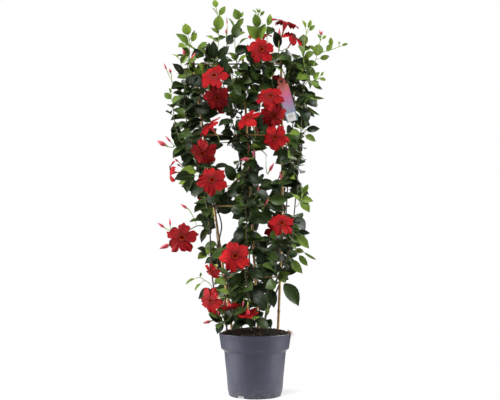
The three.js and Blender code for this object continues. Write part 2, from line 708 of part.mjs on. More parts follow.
// The point of a cane at height z.
function pointAtHeight(cane, z) {
  const points = cane.samples;
  let i = 0;
  while (i < points.length - 2 && points[i + 1].z < z) i++;
  const [a, b] = [points[i], points[i + 1]];
  return a.clone().lerp(b, (z - a.z) / (b.z - a.z));
}

function nearestSample(point, samples) {
  let best = null;
  for (const s of samples) {
    const distance = s.at.distanceTo(point);
    if (!best || distance < best.distance) best = { ...s, distance };
  }
  return best;
}

// Adds a stem or twig to a plant: its mesh, its boxes and the samples where other pieces may start.
function addRoute(plant, points, radii, sides, endDirection) {
  const last = points.length - 1;
  const radiusAt = (t) => (radii.length === 2 ? radii[0] + (radii[1] - radii[0]) * t : radii[Math.round(t * last)]);
  plant.solids.push(tube(points, points.map((_, i) => radiusAt(i / last)), sides, endDirection));
  const samples = [];
  for (let i = 0; i < last; i++) {
    const [a, b] = [points[i], points[i + 1]];
    const steps = Math.max(1, Math.round(a.distanceTo(b) / STEM.step));
    for (let k = i ? 0 : 1; k < steps; k++) {
      samples.push({ at: a.clone().lerp(b, k / steps), radius: radiusAt((i + k / steps) / last), plant });
    }
    boxes.push(segmentBox(plant.name, "stem", a, b, Math.max(radiusAt(i / last), radiusAt((i + 1) / last)) + 0.5));
  }
  samples.push({ at: points[last].clone().lerp(points[last - 1], 0.12), radius: radiusAt(1), plant });
  return samples;
}

// ---------------------------------------------------------------- setting out the plant
for (const cane of Object.values(CANES)) {
  cane.samples = sampleRoute(cane.route.map(v3), 8);
  for (let i = 0; i + 1 < cane.samples.length; i++) {
    boxes.push(segmentBox("cane", "cane", cane.samples[i], cane.samples[i + 1], CANE.radius + 1.2));
  }
}
for (const bar of BARS) {
  const [from, to] = [v3([bar.from, BAR.y, bar.z]), v3([bar.to, BAR.y, bar.z])];
  boxes.push(segmentBox("bar", "bar", from, to, BAR.radius + 0.8));
}
const worldAxes = [v3([1, 0, 0]), v3([0, 1, 0]), UP];
for (const [x, y, top] of [[108, 46, 188], [46, 108, 188], [80, 80, 188], [64, 64, 200]]) {
  boxes.push(makeBox("pot", "pot", v3([0, 0, top / 2]), worldAxes, [x, y, top / 2]));
}

const plants = [];
const newPlant = (spec) => ({ name: spec.name, spec, samples: [], solids: [], leaves: [], routes: [] });
for (const spec of STEMS) {
  const plant = newPlant(spec);
  const route = (spec.cane ? twineRoute(CANES[spec.cane], spec) : spec.route).map(v3);
  const samples = addRoute(plant, route, spec.radius, STEM.sides);
  plant.samples.push(...samples);
  plant.foot = { point: route[0], radius: spec.radius[0] };
  plant.routes.push({ samples, from: spec.pairs[0], gap: spec.pairs[1] });
  for (const branch of spec.branches) {
    const root = nearestSample(v3(branch.route[0]), samples);
    const points = [root.at, ...branch.route.slice(1).map(v3)];
    const twig = addRoute(plant, points, [TWIG.radius + 0.3, TWIG.radius - 0.1], TWIG.sides);
    plant.samples.push(...twig);
    if (branch.gap) plant.routes.push({ samples: twig, from: 0, gap: branch.gap });
  }
  plants.push(plant);
}
const stemSamples = plants.flatMap((plant) => plant.samples);
for (const spec of SHOOTS) {
  const plant = newPlant(spec);
  const [first, ...others] = spec.route.map(v3);
  const host = nearestSample(first, stemSamples);
  const away = first.clone().sub(host.at).normalize();
  const foot = host.at.clone().addScaledVector(away, host.radius + 0.8 + GAP);
  const samples = addRoute(plant, [foot, first, ...others], [1, TWIG.radius - 0.2], TWIG.sides);
  plant.samples.push(...samples);
  for (const branch of spec.branches || []) {
    const root = nearestSample(v3(branch.route[0]), samples);
    const points = [root.at, ...branch.route.slice(1).map(v3)];
    plant.samples.push(...addRoute(plant, points, [TWIG.radius, 1], TWIG.sides));
  }
  plants.push(plant);
}
const allSamples = plants.flatMap((plant) => plant.samples);

// Blooms and buds hang on pedicels, which start on the nearest stem.
const blooms = BLOOMS.map((b, i) => {
  const centre = v3(b);
  const facing = v3(b.slice(3)).normalize();
  const scale = b[6] / 90;
  const foot = centre.clone().addScaledVector(facing, -BLOOM.tube * scale);
  return { name: "bloom_" + String(i + 1).padStart(2, "0"), centre, facing, foot, diameter: b[6], turn: b[7], scale };
});
for (const { foot, facing } of blooms) {
  const end = foot.clone().addScaledVector(facing, -GAP);
  const host = nearestSample(end, allSamples);
  const middle = host.at.clone().lerp(end, 0.5).addScaledVector(facing, -0.15 * host.distance);
  addRoute(host.plant, [host.at, middle, end], [0, TWIG.radius, 1.7], TWIG.sides, facing);
}
for (const plant of plants) {
  for (const b of plant.spec.buds || []) {
    const [foot, tip] = [v3(b), v3(b.slice(3))];
    const host = nearestSample(foot, plant.samples);
    const before = foot.clone().lerp(tip, -0.25);
    const middle = host.at.clone().lerp(before, 0.55);
    const belly = foot.clone().lerp(tip, 0.42);
    const radii = [0, TWIG.radius - 0.2, 1.5, b[6] / 2, 0];
    addRoute(plant, [host.at, middle, foot, belly, tip], radii, b[6] < 8 ? TWIG.sides : STEM.sides);
  }
}

// Each bloom keeps its own space, and what faces forward keeps the view of it open.
for (const { centre, facing, foot, diameter } of blooms) {
  const side = across(Math.abs(facing.z) < 0.9 ? UP : v3([1, 0, 0]), facing);
  const other = new THREE.Vector3().crossVectors(facing, side);
  const middle = centre.clone().addScaledVector(facing, -6);
  boxes.push(makeBox("bloom", "bloom", middle, [facing, side, other], [9, diameter * 0.44, diameter * 0.44]));
  boxes.push(segmentBox("bloom", "bloom", foot, centre, 7));
  const outward = facing.y > 0.5 ? 1 : -1;
  const lane = centre.clone().add(v3([0, outward * 45, 0]));
  const halfX = diameter * 0.4 * Math.sqrt(1 - facing.x * facing.x) + 3;
  const halfZ = diameter * 0.4 * Math.sqrt(1 - facing.z * facing.z) + 3;
  boxes.push(makeBox("lane", "lane", lane, worldAxes, [halfX, 40, halfZ]));
}
const tagMiddle = v3(TAG_HANG).add(v3([0.27, 0, -1]).multiplyScalar(TAG.length / 2));
const tagAxes = worldAxes.map((axis) => axis.clone().applyAxisAngle(v3([0, 1, 0]), -rad(TAG.lean)));
boxes.push(makeBox("tag", "tag", tagMiddle, tagAxes, [TAG.width / 2 + 2, 5, TAG.length / 2 + 14]));
boxes.push(makeBox("tag", "tag", tagMiddle.clone().add(v3([0, -48, 0])), tagAxes, [TAG.width / 2, 44, TAG.length / 2 + 12]));
for (const [x0, x1, z0, z1] of CLEARINGS) {
  const centre = v3([(x0 + x1) / 2, 0, (z0 + z1) / 2]);
  boxes.push(makeBox("clearing", "clearing", centre, worldAxes, [(x1 - x0) / 2 - 2, 150, (z1 - z0) / 2 - 2]));
}

const OPEN = ["lane", "clearing"];

// Leaves set by hand: each tries its own place, then a little nearer or farther.
for (const plant of plants) {
  for (const [baseX, baseZ, tipX, tipY, tipZ, width, roll] of plant.spec.placed) {
    let root = null;
    for (const s of plant.samples) {
      const distance = Math.hypot(s.at.x - baseX, s.at.z - baseZ);
      if (!root || distance < root.distance) root = { at: s.at, distance };
    }
    for (const shift of [0, -8, 8, -16, 16, -24, 24, -34]) {
      const tip = v3([tipX, tipY + shift, tipZ]);
      const along = tip.clone().sub(root.at).normalize();
      const face = across(v3([0, -0.94, 0.34]), along).applyAxisAngle(along, rad(roll));
      const leaf = makeLeaf(plant.name, root.at, tip, width, face);
      leaf.box.kind = "placed";
      if (isPlacedClear(leaf.box)) {
        plant.leaves.push(leaf);
        boxes.push(leaf.box);
        break;
      }
    }
  }
}

// A hand-set leaf may reach into a clearing or a lane and cross its own plant, but no other piece.
function isPlacedClear(box) {
  return !boxes.some((other) => !OPEN.includes(other.kind) && other.owner !== box.owner && boxesMeet(box, other));
}

function insideOutline({ x, z }) {
  let inside = false;
  OUTLINE.forEach(([x1, z1], i) => {
    const [x0, z0] = OUTLINE[(i || OUTLINE.length) - 1];
    if (z0 > z !== z1 > z && x < x0 + ((x1 - x0) * (z - z0)) / (z1 - z0)) inside = !inside;
  });
  return inside;
}

// Pairs of leaves along each route, every pair turned a quarter from the last.
const RULE = {
  seed: 20177,
  length: [49, 67],
  width: [0.54, 0.63],
  droop: [0, 0.9],
  flatten: 0.65, // leaves spread along the trellis more than across it
  tries: [[0, 1], [28, 1], [-28, 1], [56, 0.92], [-56, 0.92], [84, 0.84], [-84, 0.84], [0, 0.72], [45, 0.72], [-45, 0.72]],
};
const draw = drawsFrom(RULE.seed);
for (const plant of plants) {
  for (const { samples, from, gap } of plant.routes) {
    let quarter = 0;
    let walked = 0;
    let due = gap * 0.5;
    for (let i = 1; i + 1 < samples.length; i++) {
      const root = samples[i].at;
      if (root.z < from) continue;
      walked += root.distanceTo(samples[i - 1].at);
      if (walked < due) continue;
      due += gap;
      quarter += 1;
      const along = samples[i + 1].at.clone().sub(samples[i - 1].at).normalize();
      addPair(plant, root, along, quarter * 90);
    }
  }
}

// Two leaves opposite each other at one joint of a stem: each tries a few turns until it is clear.
function addPair(plant, root, along, start) {
  const side = across(v3([0, 1, 0]), along);
  const other = new THREE.Vector3().crossVectors(along, side);
  const outward = v3([0.25 * Math.sign(root.x + 20), root.y > 25 ? 1 : -1, 0]).normalize();
  for (const opposite of [0, 180]) {
    const draws = [draw(), draw(), draw(), draw(), draw()];
    const length = RULE.length[0] + (RULE.length[1] - RULE.length[0]) * draws[0];
    const width = length * (RULE.width[0] + (RULE.width[1] - RULE.width[0]) * draws[1]);
    const droop = RULE.droop[0] + (RULE.droop[1] - RULE.droop[0]) * draws[2];
    let best = null;
    for (const [turn, shrink] of RULE.tries) {
      const angle = rad(45 + start + opposite + (draws[3] - 0.5) * 50 + turn);
      const aim = side.clone().multiplyScalar(Math.cos(angle)).addScaledVector(other, Math.sin(angle));
      aim.y *= RULE.flatten;
      aim.addScaledVector(outward, 0.3).addScaledVector(along, 0.25).addScaledVector(UP, -droop).normalize();
      const tip = root.clone().addScaledVector(aim, length * shrink);
      const face = across(UP.clone().multiplyScalar(0.45).addScaledVector(outward, 0.9), aim);
      const leaf = makeLeaf(plant.name, root, tip, width * shrink, face.applyAxisAngle(aim, (draws[4] - 0.5) * 0.9));
      if (!insideOutline(tip) || !isClear(leaf.box)) continue;
      const room = roomAround(leaf.box.centre);
      if (!best || room > best.room) best = { leaf, room };
    }
    if (!best) continue;
    plant.leaves.push(best.leaf);
    boxes.push(best.leaf.box);
  }
}

// How far a leaf stands from the nearest leaf or bloom on its side of the trellis, seen from the front.
function roomAround({ x, y, z }) {
  let room = Infinity;
  for (const { kind, centre } of boxes) {
    if (kind !== "leaf" && kind !== "placed" && kind !== "bloom") continue;
    if (centre.y > 20 === y > 20) room = Math.min(room, Math.hypot(centre.x - x, centre.z - z));
  }
  return room;
}

// ---------------------------------------------------------------- the pieces
// A funnel that opens into five slanting petals, closed back into its throat.
function bloomGeometry({ centre, facing, foot, diameter, turn, scale }) {
  const side = across(Math.abs(facing.z) < 0.9 ? UP : v3([1, 0, 0]), facing).applyAxisAngle(facing, rad(turn));
  const other = new THREE.Vector3().crossVectors(facing, side);
  const at = (degrees, reach, height) =>
    centre
      .clone()
      .addScaledVector(facing, height)
      .addScaledVector(side, reach * Math.cos(rad(degrees)))
      .addScaledVector(other, reach * Math.sin(rad(degrees)));
  const circle = (reach, height) => [0, 1, 2, 3, 4].map((i) => at(72 * i + 38, reach * scale, height));
  const rim = [0, 1, 2, 3, 4].flatMap((i) =>
    PETAL.map(([angle, reach, back]) => at(72 * i + angle, (reach * diameter) / 2, 1.5 - (back * diameter) / 2)),
  );
  const end = foot.clone().sub(centre).dot(facing);
  return loft([
    circle(BLOOM.tubeRadius, end),
    circle(BLOOM.waist, end * 0.55),
    circle(BLOOM.neckRadius, -4.5 * scale),
    rim,
    circle(BLOOM.throatRadius, 0),
    [at(0, 0, -BLOOM.throatDepth * scale)],
  ]);
}

function plantGeometry(plant) {
  let solid = solidOf(plant.solids[0]);
  for (const geometry of plant.solids.slice(1)) solid = solid.add(solidOf(geometry));
  for (const leaf of plant.leaves) solid = solid.add(solidOf(leafGeometry(leaf)));
  return geometryOf(solid);
}

function lathe(profile, segments) {
  const geometry = new THREE.LatheGeometry(profile.map(([r, z]) => new THREE.Vector2(r, z)), segments);
  geometry.rotateX(Math.PI / 2);
  return geometry;
}

function potGeometry() {
  const p = POT;
  const collarFoot = p.height - p.collarHeight;
  const shoulderFoot = collarFoot - p.shoulderDrop;
  const profile = [
    [0, p.floorUnderside],
    [p.footInnerRadius - 2, p.floorUnderside],
    [p.footInnerRadius, 0],
    [p.footRadius, 0],
    [p.bodyFootRadius, p.chamferHeight],
    [p.bodyTopRadius, shoulderFoot],
    [p.collarFootRadius, collarFoot],
    [p.rimRadius, p.height],
    [p.rimRadius - p.wall, p.height],
    [p.collarFootRadius - p.wall, collarFoot + 1],
    [p.bodyTopRadius - p.wall, shoulderFoot + 1],
    [p.bodyFootRadius - p.wall, p.floorTop],
    [0, p.floorTop],
  ];
  let solid = solidOf(lathe(profile, p.segments));
  for (const angle of p.notchAngles) {
    const half = p.notchWidth / 2;
    const shape = new THREE.Shape([
      new THREE.Vector2(-half - 2, -1),
      new THREE.Vector2(half + 2, -1),
      new THREE.Vector2(half - 3, p.notchHeight),
      new THREE.Vector2(-half + 3, p.notchHeight),
    ]);
    const cutter = new THREE.ExtrudeGeometry(shape, { depth: 20, bevelEnabled: false });
    cutter.rotateX(Math.PI / 2).rotateZ(Math.PI / 2);
    cutter.translate(p.footRadius - 12, 0, 0).rotateZ(rad(angle));
    solid = solid.subtract(solidOf(cutter));
  }
  for (let i = 0; i < p.drainHoles; i++) {
    const drill = new THREE.CylinderGeometry(p.drainRadius, p.drainRadius, 12, 6).rotateX(Math.PI / 2);
    drill.translate(p.drainRing, 0, p.floorTop - 2).rotateZ((2 * Math.PI * (i + 0.5)) / p.drainHoles);
    solid = solid.subtract(solidOf(drill));
  }
  return geometryOf(solid);
}

function soilGeometry() {
  const p = POT;
  const s = SOIL;
  const room = p.wall + 0.6;
  const collarFoot = p.height - p.collarHeight;
  const profile = [
    [0, p.floorTop + GAP],
    [p.bodyFootRadius - room - 0.6, p.floorTop + GAP],
    [p.bodyTopRadius - room - 1, collarFoot - p.shoulderDrop],
    [p.collarFootRadius - room - 1.6, collarFoot],
    [p.rimRadius - room - 1.2, s.edgeHeight],
    [p.rimRadius - room - 12, s.shoulderHeight],
    [0, s.crownHeight],
  ];
  let solid = solidOf(lathe(profile, s.segments));
  for (const { foot } of plants.filter((plant) => plant.foot)) {
    const hole = [foot.point.clone().setZ(148), foot.point.clone().setZ(208)];
    const wide = foot.radius + 1.6;
    solid = solid.subtract(solidOf(tube(hole, [wide, wide], s.holeSides)));
  }
  for (const cane of Object.values(CANES)) {
    const [a, b] = [pointAtHeight(cane, CANE.bottom), pointAtHeight(cane, 225)];
    const wide = CANE.radius + 0.6;
    solid = solid.subtract(solidOf(tube([a.clone().lerp(b, -0.01), b], [wide, wide], CANE.sides)));
  }
  return geometryOf(solid);
}

// A cane is straight or nearly so, a little thinner towards the top, with raised knuckles.
function caneGeometry(cane) {
  const stops = [[CANE.bottom, 0]];
  for (let z = CANE.firstKnuckle; z < cane.top - 40; z += CANE.knuckleGap) {
    stops.push([z - CANE.knuckleHalf, 0], [z, CANE.knuckle], [z + CANE.knuckleHalf, 0]);
  }
  stops.push([cane.top, 0]);
  const points = stops.map(([z]) => pointAtHeight(cane, z));
  const thin = (z) => CANE.radius - (0.5 * (z - CANE.bottom)) / 1000;
  return tube(points, stops.map(([z, bulge]) => thin(z) + bulge), CANE.sides);
}

function barGeometry(bar) {
  const geometry = new THREE.CylinderGeometry(BAR.radius, BAR.radius, bar.to - bar.from, BAR.sides);
  return geometry.rotateZ(Math.PI / 2).translate((bar.from + bar.to) / 2, BAR.y, bar.z);
}

// The label hangs from its hole on a loop of tie round the cane.
function tagGeometry() {
  const t = TAG;
  const half = t.width / 2;
  const neck = Math.asin((t.shoulder - 1) / t.headRadius);
  const shape = new THREE.Shape();
  shape.moveTo(-half + 2, -t.length);
  shape.lineTo(half - 2, -t.length);
  shape.lineTo(half, -t.length + 2);
  shape.lineTo(half, -t.shoulder);
  shape.absarc(0, 0, t.headRadius, -neck, Math.PI + neck, false);
  shape.lineTo(-half, -t.shoulder);
  shape.lineTo(-half, -t.length + 2);
  shape.holes.push(new THREE.Path().absarc(0, 0, t.hole, 0, 2 * Math.PI, true));
  const geometry = new THREE.ExtrudeGeometry(shape, { depth: t.thickness, bevelEnabled: false, curveSegments: 5 });
  geometry.rotateX(Math.PI / 2).rotateY(-rad(t.lean)).translate(...TAG_HANG);
  return geometryOf(solidOf(geometry));
}

function tagTieGeometry() {
  const [x, y, z] = TAG_HANG;
  const top = z + TAG.hole - TAG_TIE.radius - 0.4;
  const cane = pointAtHeight(CANES.right, z + 6);
  const reach = CANE.radius + TAG_TIE.radius + 0.6;
  const route = [
    [x, y - 4, top - 0.5],
    [x, y + 4, top + 0.4],
    [cane.x - reach, -reach, top + 3],
    [cane.x - reach, reach * 0.6, top + 4],
    [cane.x, reach + 1, top + 5],
    [cane.x + reach, reach * 0.6, top + 6],
    [cane.x + reach + 1, -reach - 2, top + 7],
  ];
  const path = new THREE.CatmullRomCurve3(route.map(v3), false, "catmullrom", 0.5);
  const section = new THREE.Shape().absarc(0, 0, TAG_TIE.radius, 0, 2 * Math.PI);
  return new THREE.ExtrudeGeometry(section, { extrudePath: path, steps: 10, curveSegments: TAG_TIE.sides });
}

// ---------------------------------------------------------------- the scene graph
const finish = (color, roughness) => new THREE.MeshStandardMaterial({ color, roughness, metalness: 0 });
const materials = {
  pot: finish(0x5d606b, 0.5),
  soil: finish(0x1d1613, 0.95),
  bamboo: finish(0xb08a4e, 0.6),
  foliage: finish(0x16281a, 0.4),
  shoot: finish(0x6d9a3a, 0.45),
  petal: finish(0xc01a24, 0.6),
  tag: finish(0xb9486a, 0.4),
  tie: finish(0x1a1a1a, 0.5),
};

const mandevilla = new THREE.Group();
mandevilla.name = "mandevilla";
function place(name, geometry, material) {
  const mesh = new THREE.Mesh(geometry, material);
  mesh.name = name;
  mandevilla.add(mesh);
}

place("pot", potGeometry(), materials.pot);
place("soil", soilGeometry(), materials.soil);
for (const [name, cane] of Object.entries(CANES)) place("cane_" + name, caneGeometry(cane), materials.bamboo);
BARS.forEach((bar, i) => place("crossbar_" + (i + 1), barGeometry(bar), materials.bamboo));
place("tag", tagGeometry(), materials.tag);
place("tag_tie", tagTieGeometry(), materials.tie);
for (const plant of plants) {
  const young = plant.name.startsWith("shoot");
  place(plant.name, plantGeometry(plant), young ? materials.shoot : materials.foliage);
}
for (const bloom of blooms) place(bloom.name, bloomGeometry(bloom), materials.petal);

export default mandevilla;
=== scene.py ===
import json
import math
import random

import bpy
import numpy as np
from mathutils import Matrix, Vector, noise

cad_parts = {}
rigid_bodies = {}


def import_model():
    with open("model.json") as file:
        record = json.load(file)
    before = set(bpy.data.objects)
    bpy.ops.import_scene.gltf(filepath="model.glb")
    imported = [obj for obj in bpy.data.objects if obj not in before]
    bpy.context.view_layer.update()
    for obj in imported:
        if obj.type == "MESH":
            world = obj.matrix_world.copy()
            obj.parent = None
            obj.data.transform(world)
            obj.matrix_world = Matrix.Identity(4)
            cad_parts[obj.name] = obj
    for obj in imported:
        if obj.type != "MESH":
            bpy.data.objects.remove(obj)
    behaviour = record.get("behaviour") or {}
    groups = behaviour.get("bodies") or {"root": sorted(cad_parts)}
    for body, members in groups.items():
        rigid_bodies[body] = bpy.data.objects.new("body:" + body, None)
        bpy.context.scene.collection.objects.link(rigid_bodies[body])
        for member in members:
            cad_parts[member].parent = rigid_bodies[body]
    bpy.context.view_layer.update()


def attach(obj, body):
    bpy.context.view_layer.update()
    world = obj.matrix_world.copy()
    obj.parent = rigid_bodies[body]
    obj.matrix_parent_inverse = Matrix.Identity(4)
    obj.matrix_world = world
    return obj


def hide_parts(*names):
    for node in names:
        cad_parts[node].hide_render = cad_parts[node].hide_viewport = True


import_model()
mm = 0.001
print("frame loaded")


def linked(name, data):  # a new object in the scene
    made = bpy.data.objects.new(name, data)
    bpy.context.scene.collection.objects.link(made)
    return made


def plainMesh(holder):  # what an object's modifiers or its curve give; the object itself is then removed
    depsgraph = bpy.context.evaluated_depsgraph_get()
    made = bpy.data.meshes.new_from_object(holder.evaluated_get(depsgraph), preserve_all_data_layers=True,
                                           depsgraph=depsgraph)
    holder.modifiers.clear()
    bpy.data.objects.remove(holder)
    return made


# the camera and the lights
view = {"place": (-0.0155, -2.1, 0.370), "pitch": 96.0, "lens": 48.96, "sensor": 36.0}
cameraData = bpy.data.cameras.new("frontView")
cameraData.lens, cameraData.sensor_width = view["lens"], view["sensor"]
camera = linked("frontView", cameraData)
camera.location = view["place"]
camera.rotation_euler = (math.radians(view["pitch"]), 0, 0)
bpy.context.scene.camera = camera
bpy.context.scene.view_settings.view_transform = "Standard"

studio = {
    "sky": 0.15,  # even light from all round
    "lamps": {
        "key": {"place": (-2.0, -0.10, 0.70), "size": (1.5, 1.3), "power": 104, "target": (0, 0, 0.6)},
        "fill": {"place": (2.0, -0.20, 0.70), "size": (1.4, 1.3), "power": 88, "target": (0, 0, 0.6)},
        "top": {"place": (-0.6, -1.5, 3.0), "size": (1.2, 1.2), "power": 112, "target": (0, 0, 0.62)},
        "rim": {"place": (0.5, 2.3, 2.2), "size": (1.6, 1.6), "power": 36, "target": (0, 0, 0.62)},
    },
}
for lampName, given in studio["lamps"].items():
    lampData = bpy.data.lights.new(lampName, "AREA")
    lampData.energy, lampData.shape = given["power"], "RECTANGLE"
    lampData.size, lampData.size_y = given["size"]
    lamp = linked(lampName, lampData)
    lamp.location = given["place"]
    aim = Vector(given["target"]) - lamp.location
    lamp.rotation_euler = aim.to_track_quat("-Z", "Y").to_euler()
world = bpy.data.worlds.new("brightRoom")
bpy.context.scene.world = world
world.use_nodes = True


# shader and geometry maths: a wrapped socket adds its Math nodes when it is used in an expression
class Wire:
    def __init__(self, tree, socket=None):
        self.tree = tree
        self.socket = socket

    def node(self, kind, settings=None, inputs=None, output=None):
        made = self.tree.nodes.new(kind)
        for key, value in (settings or {}).items():
            if key == "stops":
                ramp = made.color_ramp
                while len(ramp.elements) < len(value):
                    ramp.elements.new(1.0)
                for element, (place, colour) in zip(ramp.elements, value):
                    element.position = place
                    element.color = (*colour, 1.0)
            else:
                setattr(made, key, value)
        for key, value in (inputs or {}).items():  # by number, or the socket in use that has the name
            named = [s for s in made.inputs if s.enabled and s.name == key]
            socket = named[0] if named else made.inputs[key]
            if isinstance(value, Wire):
                self.tree.links.new(value.socket, socket)
            else:
                socket.default_value = value
        found = [s for s in made.outputs if s.enabled and output in (None, s.name)]
        return Wire(self.tree, found[0] if found else None)

    def maths(self, operation, *values):
        return self.node("ShaderNodeMath", {"operation": operation}, dict(enumerate(values)))

    def __add__(self, other):
        return self.maths("ADD", self, other)

    __radd__ = __add__

    def __sub__(self, other):
        return self.maths("SUBTRACT", self, other)

    def __rsub__(self, other):
        return self.maths("SUBTRACT", other, self)

    def __mul__(self, other):
        return self.maths("MULTIPLY", self, other)

    __rmul__ = __mul__

    def __pow__(self, other):
        return self.maths("POWER", self, other)

    def __abs__(self):
        return self.maths("ABSOLUTE", self)

    def __gt__(self, limit):  # 1 above the limit, 0 below it
        return self.maths("GREATER_THAN", self, limit)

    def ripple(self):  # runs up and down between 0 and a half
        return self.maths("PINGPONG", self, 0.5)

    def band(self, low, high):  # 0 below low, 1 above high, smooth between
        settings = {"interpolation_type": "SMOOTHSTEP"}
        return self.node("ShaderNodeMapRange", settings, {"Value": self, "From Min": low, "From Max": high})

    def parts(self):  # the three numbers of a vector
        split = self.node("ShaderNodeSeparateXYZ", None, {"Vector": self})
        return [Wire(self.tree, s) for s in split.socket.node.outputs]

    def mixed(self, first, second):  # first where this is 0, second where it is 1
        def colour(c):
            return c if isinstance(c, Wire) else (*c, 1.0)

        inputs = {"Factor": self, "A": colour(first), "B": colour(second)}
        return self.node("ShaderNodeMix", {"data_type": "RGBA"}, inputs)

    def place(self):
        return self.node("ShaderNodeTexCoord", output="Object")

    def noise(self, scale, detail=3.0, rough=0.5, stretch=(1, 1, 1)):
        spot = self.node("ShaderNodeMapping", None, {"Vector": self.place(), "Scale": stretch})
        inputs = {"Vector": spot, "Scale": scale, "Detail": detail, "Roughness": rough}
        return self.node("ShaderNodeTexNoise", None, inputs)

    def cells(self, scale):
        return self.node("ShaderNodeTexVoronoi", None, {"Vector": self.place(), "Scale": scale})

    def value(self, name):  # a number kept on the mesh
        return self.node("ShaderNodeAttribute", {"attribute_name": name}, output="Fac")

    def onBlade(self):  # along and across the piece's own surface map
        along, across, _ = self.node("ShaderNodeTexCoord", output="UV").parts()
        return along, across


def lightRoom(tree):  # white where the camera looks past the object, and a softer light on it
    tree.nodes.clear()
    w = Wire(tree)
    seen = w.node("ShaderNodeLightPath", output="Is Camera Ray")
    light, white = (w.node("ShaderNodeBackground", None, {"Color": (1, 1, 1, 1), "Strength": strength})
                    for strength in (studio["sky"], 1.0))
    both = w.node("ShaderNodeMixShader", None, {"Fac": seen, 1: light, 2: white})
    w.node("ShaderNodeOutputWorld", None, {"Surface": both})


lightRoom(world.node_tree)


def newMaterial(name, fixed, build):
    made = bpy.data.materials.new(name)
    made.use_nodes = True
    tree = made.node_tree
    shader = tree.nodes["Principled BSDF"]
    for key, value in fixed.items():
        shader.inputs[key].default_value = value
    changing = build(Wire(tree))
    height = changing.pop("Height", None)
    if height:
        amount, distance = height
        inputs = {"Strength": 1.0, "Distance": distance, "Height": amount}
        changing["Normal"] = Wire(tree).node("ShaderNodeBump", None, inputs)
    for key, wire in changing.items():
        tree.links.new(wire.socket, shader.inputs[key])
    return made


# finishes
def floorFinish(w):
    speck = w.noise(3.0, 2.0)
    return {"Base Color": speck.mixed((0.36, 0.36, 0.36), (0.38, 0.38, 0.38))}


def potFinish(w):
    along = w.place().parts()[2]
    cloud = w.noise(14.0, 4.0, 0.6)
    scuff = w.noise(60.0, 5.0, 0.7, (1, 1, 0.25)).band(0.56, 0.72)
    dust = (1 - along.band(0.0, 0.05)) * w.noise(90.0, 3.0).band(0.4, 0.7)
    body = cloud.mixed((0.015, 0.0165, 0.030), (0.021, 0.023, 0.040))
    worn = (scuff * 0.16).mixed(body, (0.10, 0.11, 0.14))
    colour = (dust * 0.3).mixed(worn, (0.15, 0.14, 0.13))
    grain = w.noise(900.0, 2.0) * 0.3 + cloud * 0.2
    return {"Base Color": colour, "Roughness": cloud * 0.10 + scuff * 0.10 + 0.37, "Height": (grain, 0.0003)}


def soilFinish(w):
    lumps = w.cells(170.0)
    fine = w.noise(420.0, 4.0, 0.7)
    dark = fine.mixed((0.0022, 0.0017, 0.0014), (0.011, 0.007, 0.005))
    colour = (fine.band(0.66, 0.78) * 0.55).mixed(dark, (0.060, 0.030, 0.014))
    return {"Base Color": colour, "Roughness": fine * 0.2 + 0.75, "Height": (lumps * 0.6 + fine, 0.003)}


def barkFinish(w):
    tone = w.value("tone")
    grain = w.noise(300.0, 4.0, 0.7, (1, 1, 0.3))
    wood = grain.mixed((0.10, 0.042, 0.016), (0.34, 0.17, 0.075))
    return {"Base Color": tone.band(0.72, 1.0).mixed((0.008, 0.005, 0.004), wood), "Height": (grain, 0.001)}


def bambooFinish(w):
    streak = w.noise(340.0, 4.0, 0.6, (1, 1, 0.035))
    patch = w.noise(9.0, 3.0, 0.6)
    knuckle = w.value("knuckle")
    straw = streak.mixed((0.20, 0.10, 0.024), (0.44, 0.27, 0.075))
    weathered = (patch.band(0.45, 0.75) * 0.7).mixed(straw, (0.15, 0.08, 0.028))
    colour = (knuckle * 0.75).mixed(weathered, (0.10, 0.052, 0.022))
    return {"Base Color": colour, "Roughness": streak * 0.2 + 0.36, "Height": (streak + knuckle, 0.0006)}


def tieFinish(w):
    return {"Base Color": w.noise(200.0).mixed((0.008, 0.008, 0.009), (0.03, 0.03, 0.032))}


# youth runs from 0 on the oldest leaves to 1 on the new shoots, and tone sets each leaf's own shade
def leafFinish(w):
    along, across = w.onBlade()
    under = along > 1.5  # the underside's map starts at 2
    u = along - under * 2
    v = abs(across - 0.5) * 2
    youth, tone = w.value("youth"), w.value("tone")
    patch = w.noise(70.0, 3.0, 0.6)
    rib = 1 - v.band(0.02, 0.075)
    ladder = (u * 9.0 - v * 2.6).ripple()
    veins = (1 - ladder.band(0.03, 0.12)) * (1 - v.band(0.75, 0.95))
    lines = rib.maths("MAXIMUM", rib, veins * 0.6)
    shade = tone * 0.75 + patch * 0.35
    old = (shade ** 2.5).mixed((0.0036, 0.0085, 0.0024), (0.060, 0.105, 0.017))
    young = shade.mixed((0.074, 0.140, 0.012), (0.26, 0.38, 0.042))
    blade = youth.mixed(old, young)
    veined = (lines * (0.16 + youth * 0.26)).mixed(blade, (0.17, 0.29, 0.08))
    pale = youth.mixed((0.050, 0.082, 0.026), (0.17, 0.29, 0.065))
    colour = (under * 0.72).mixed(veined, pale)
    rough = 0.34 + patch * 0.10 + under * 0.20 + youth * 0.06
    return {"Base Color": colour, "Roughness": rough, "Height": (1 - lines * 0.8, 0.0012)}


def stemFinish(w):
    youth = w.value("youth")
    fleck = w.noise(260.0, 4.0, 0.65, (1, 1, 0.3))
    woody = fleck.mixed((0.018, 0.010, 0.007), (0.062, 0.035, 0.020))
    green = fleck.mixed((0.15, 0.22, 0.035), (0.32, 0.44, 0.09))
    colour = youth.band(0.1, 0.8).mixed(woody, green)
    return {"Base Color": colour, "Roughness": 0.62 - youth * 0.2, "Height": (fleck, 0.0005)}


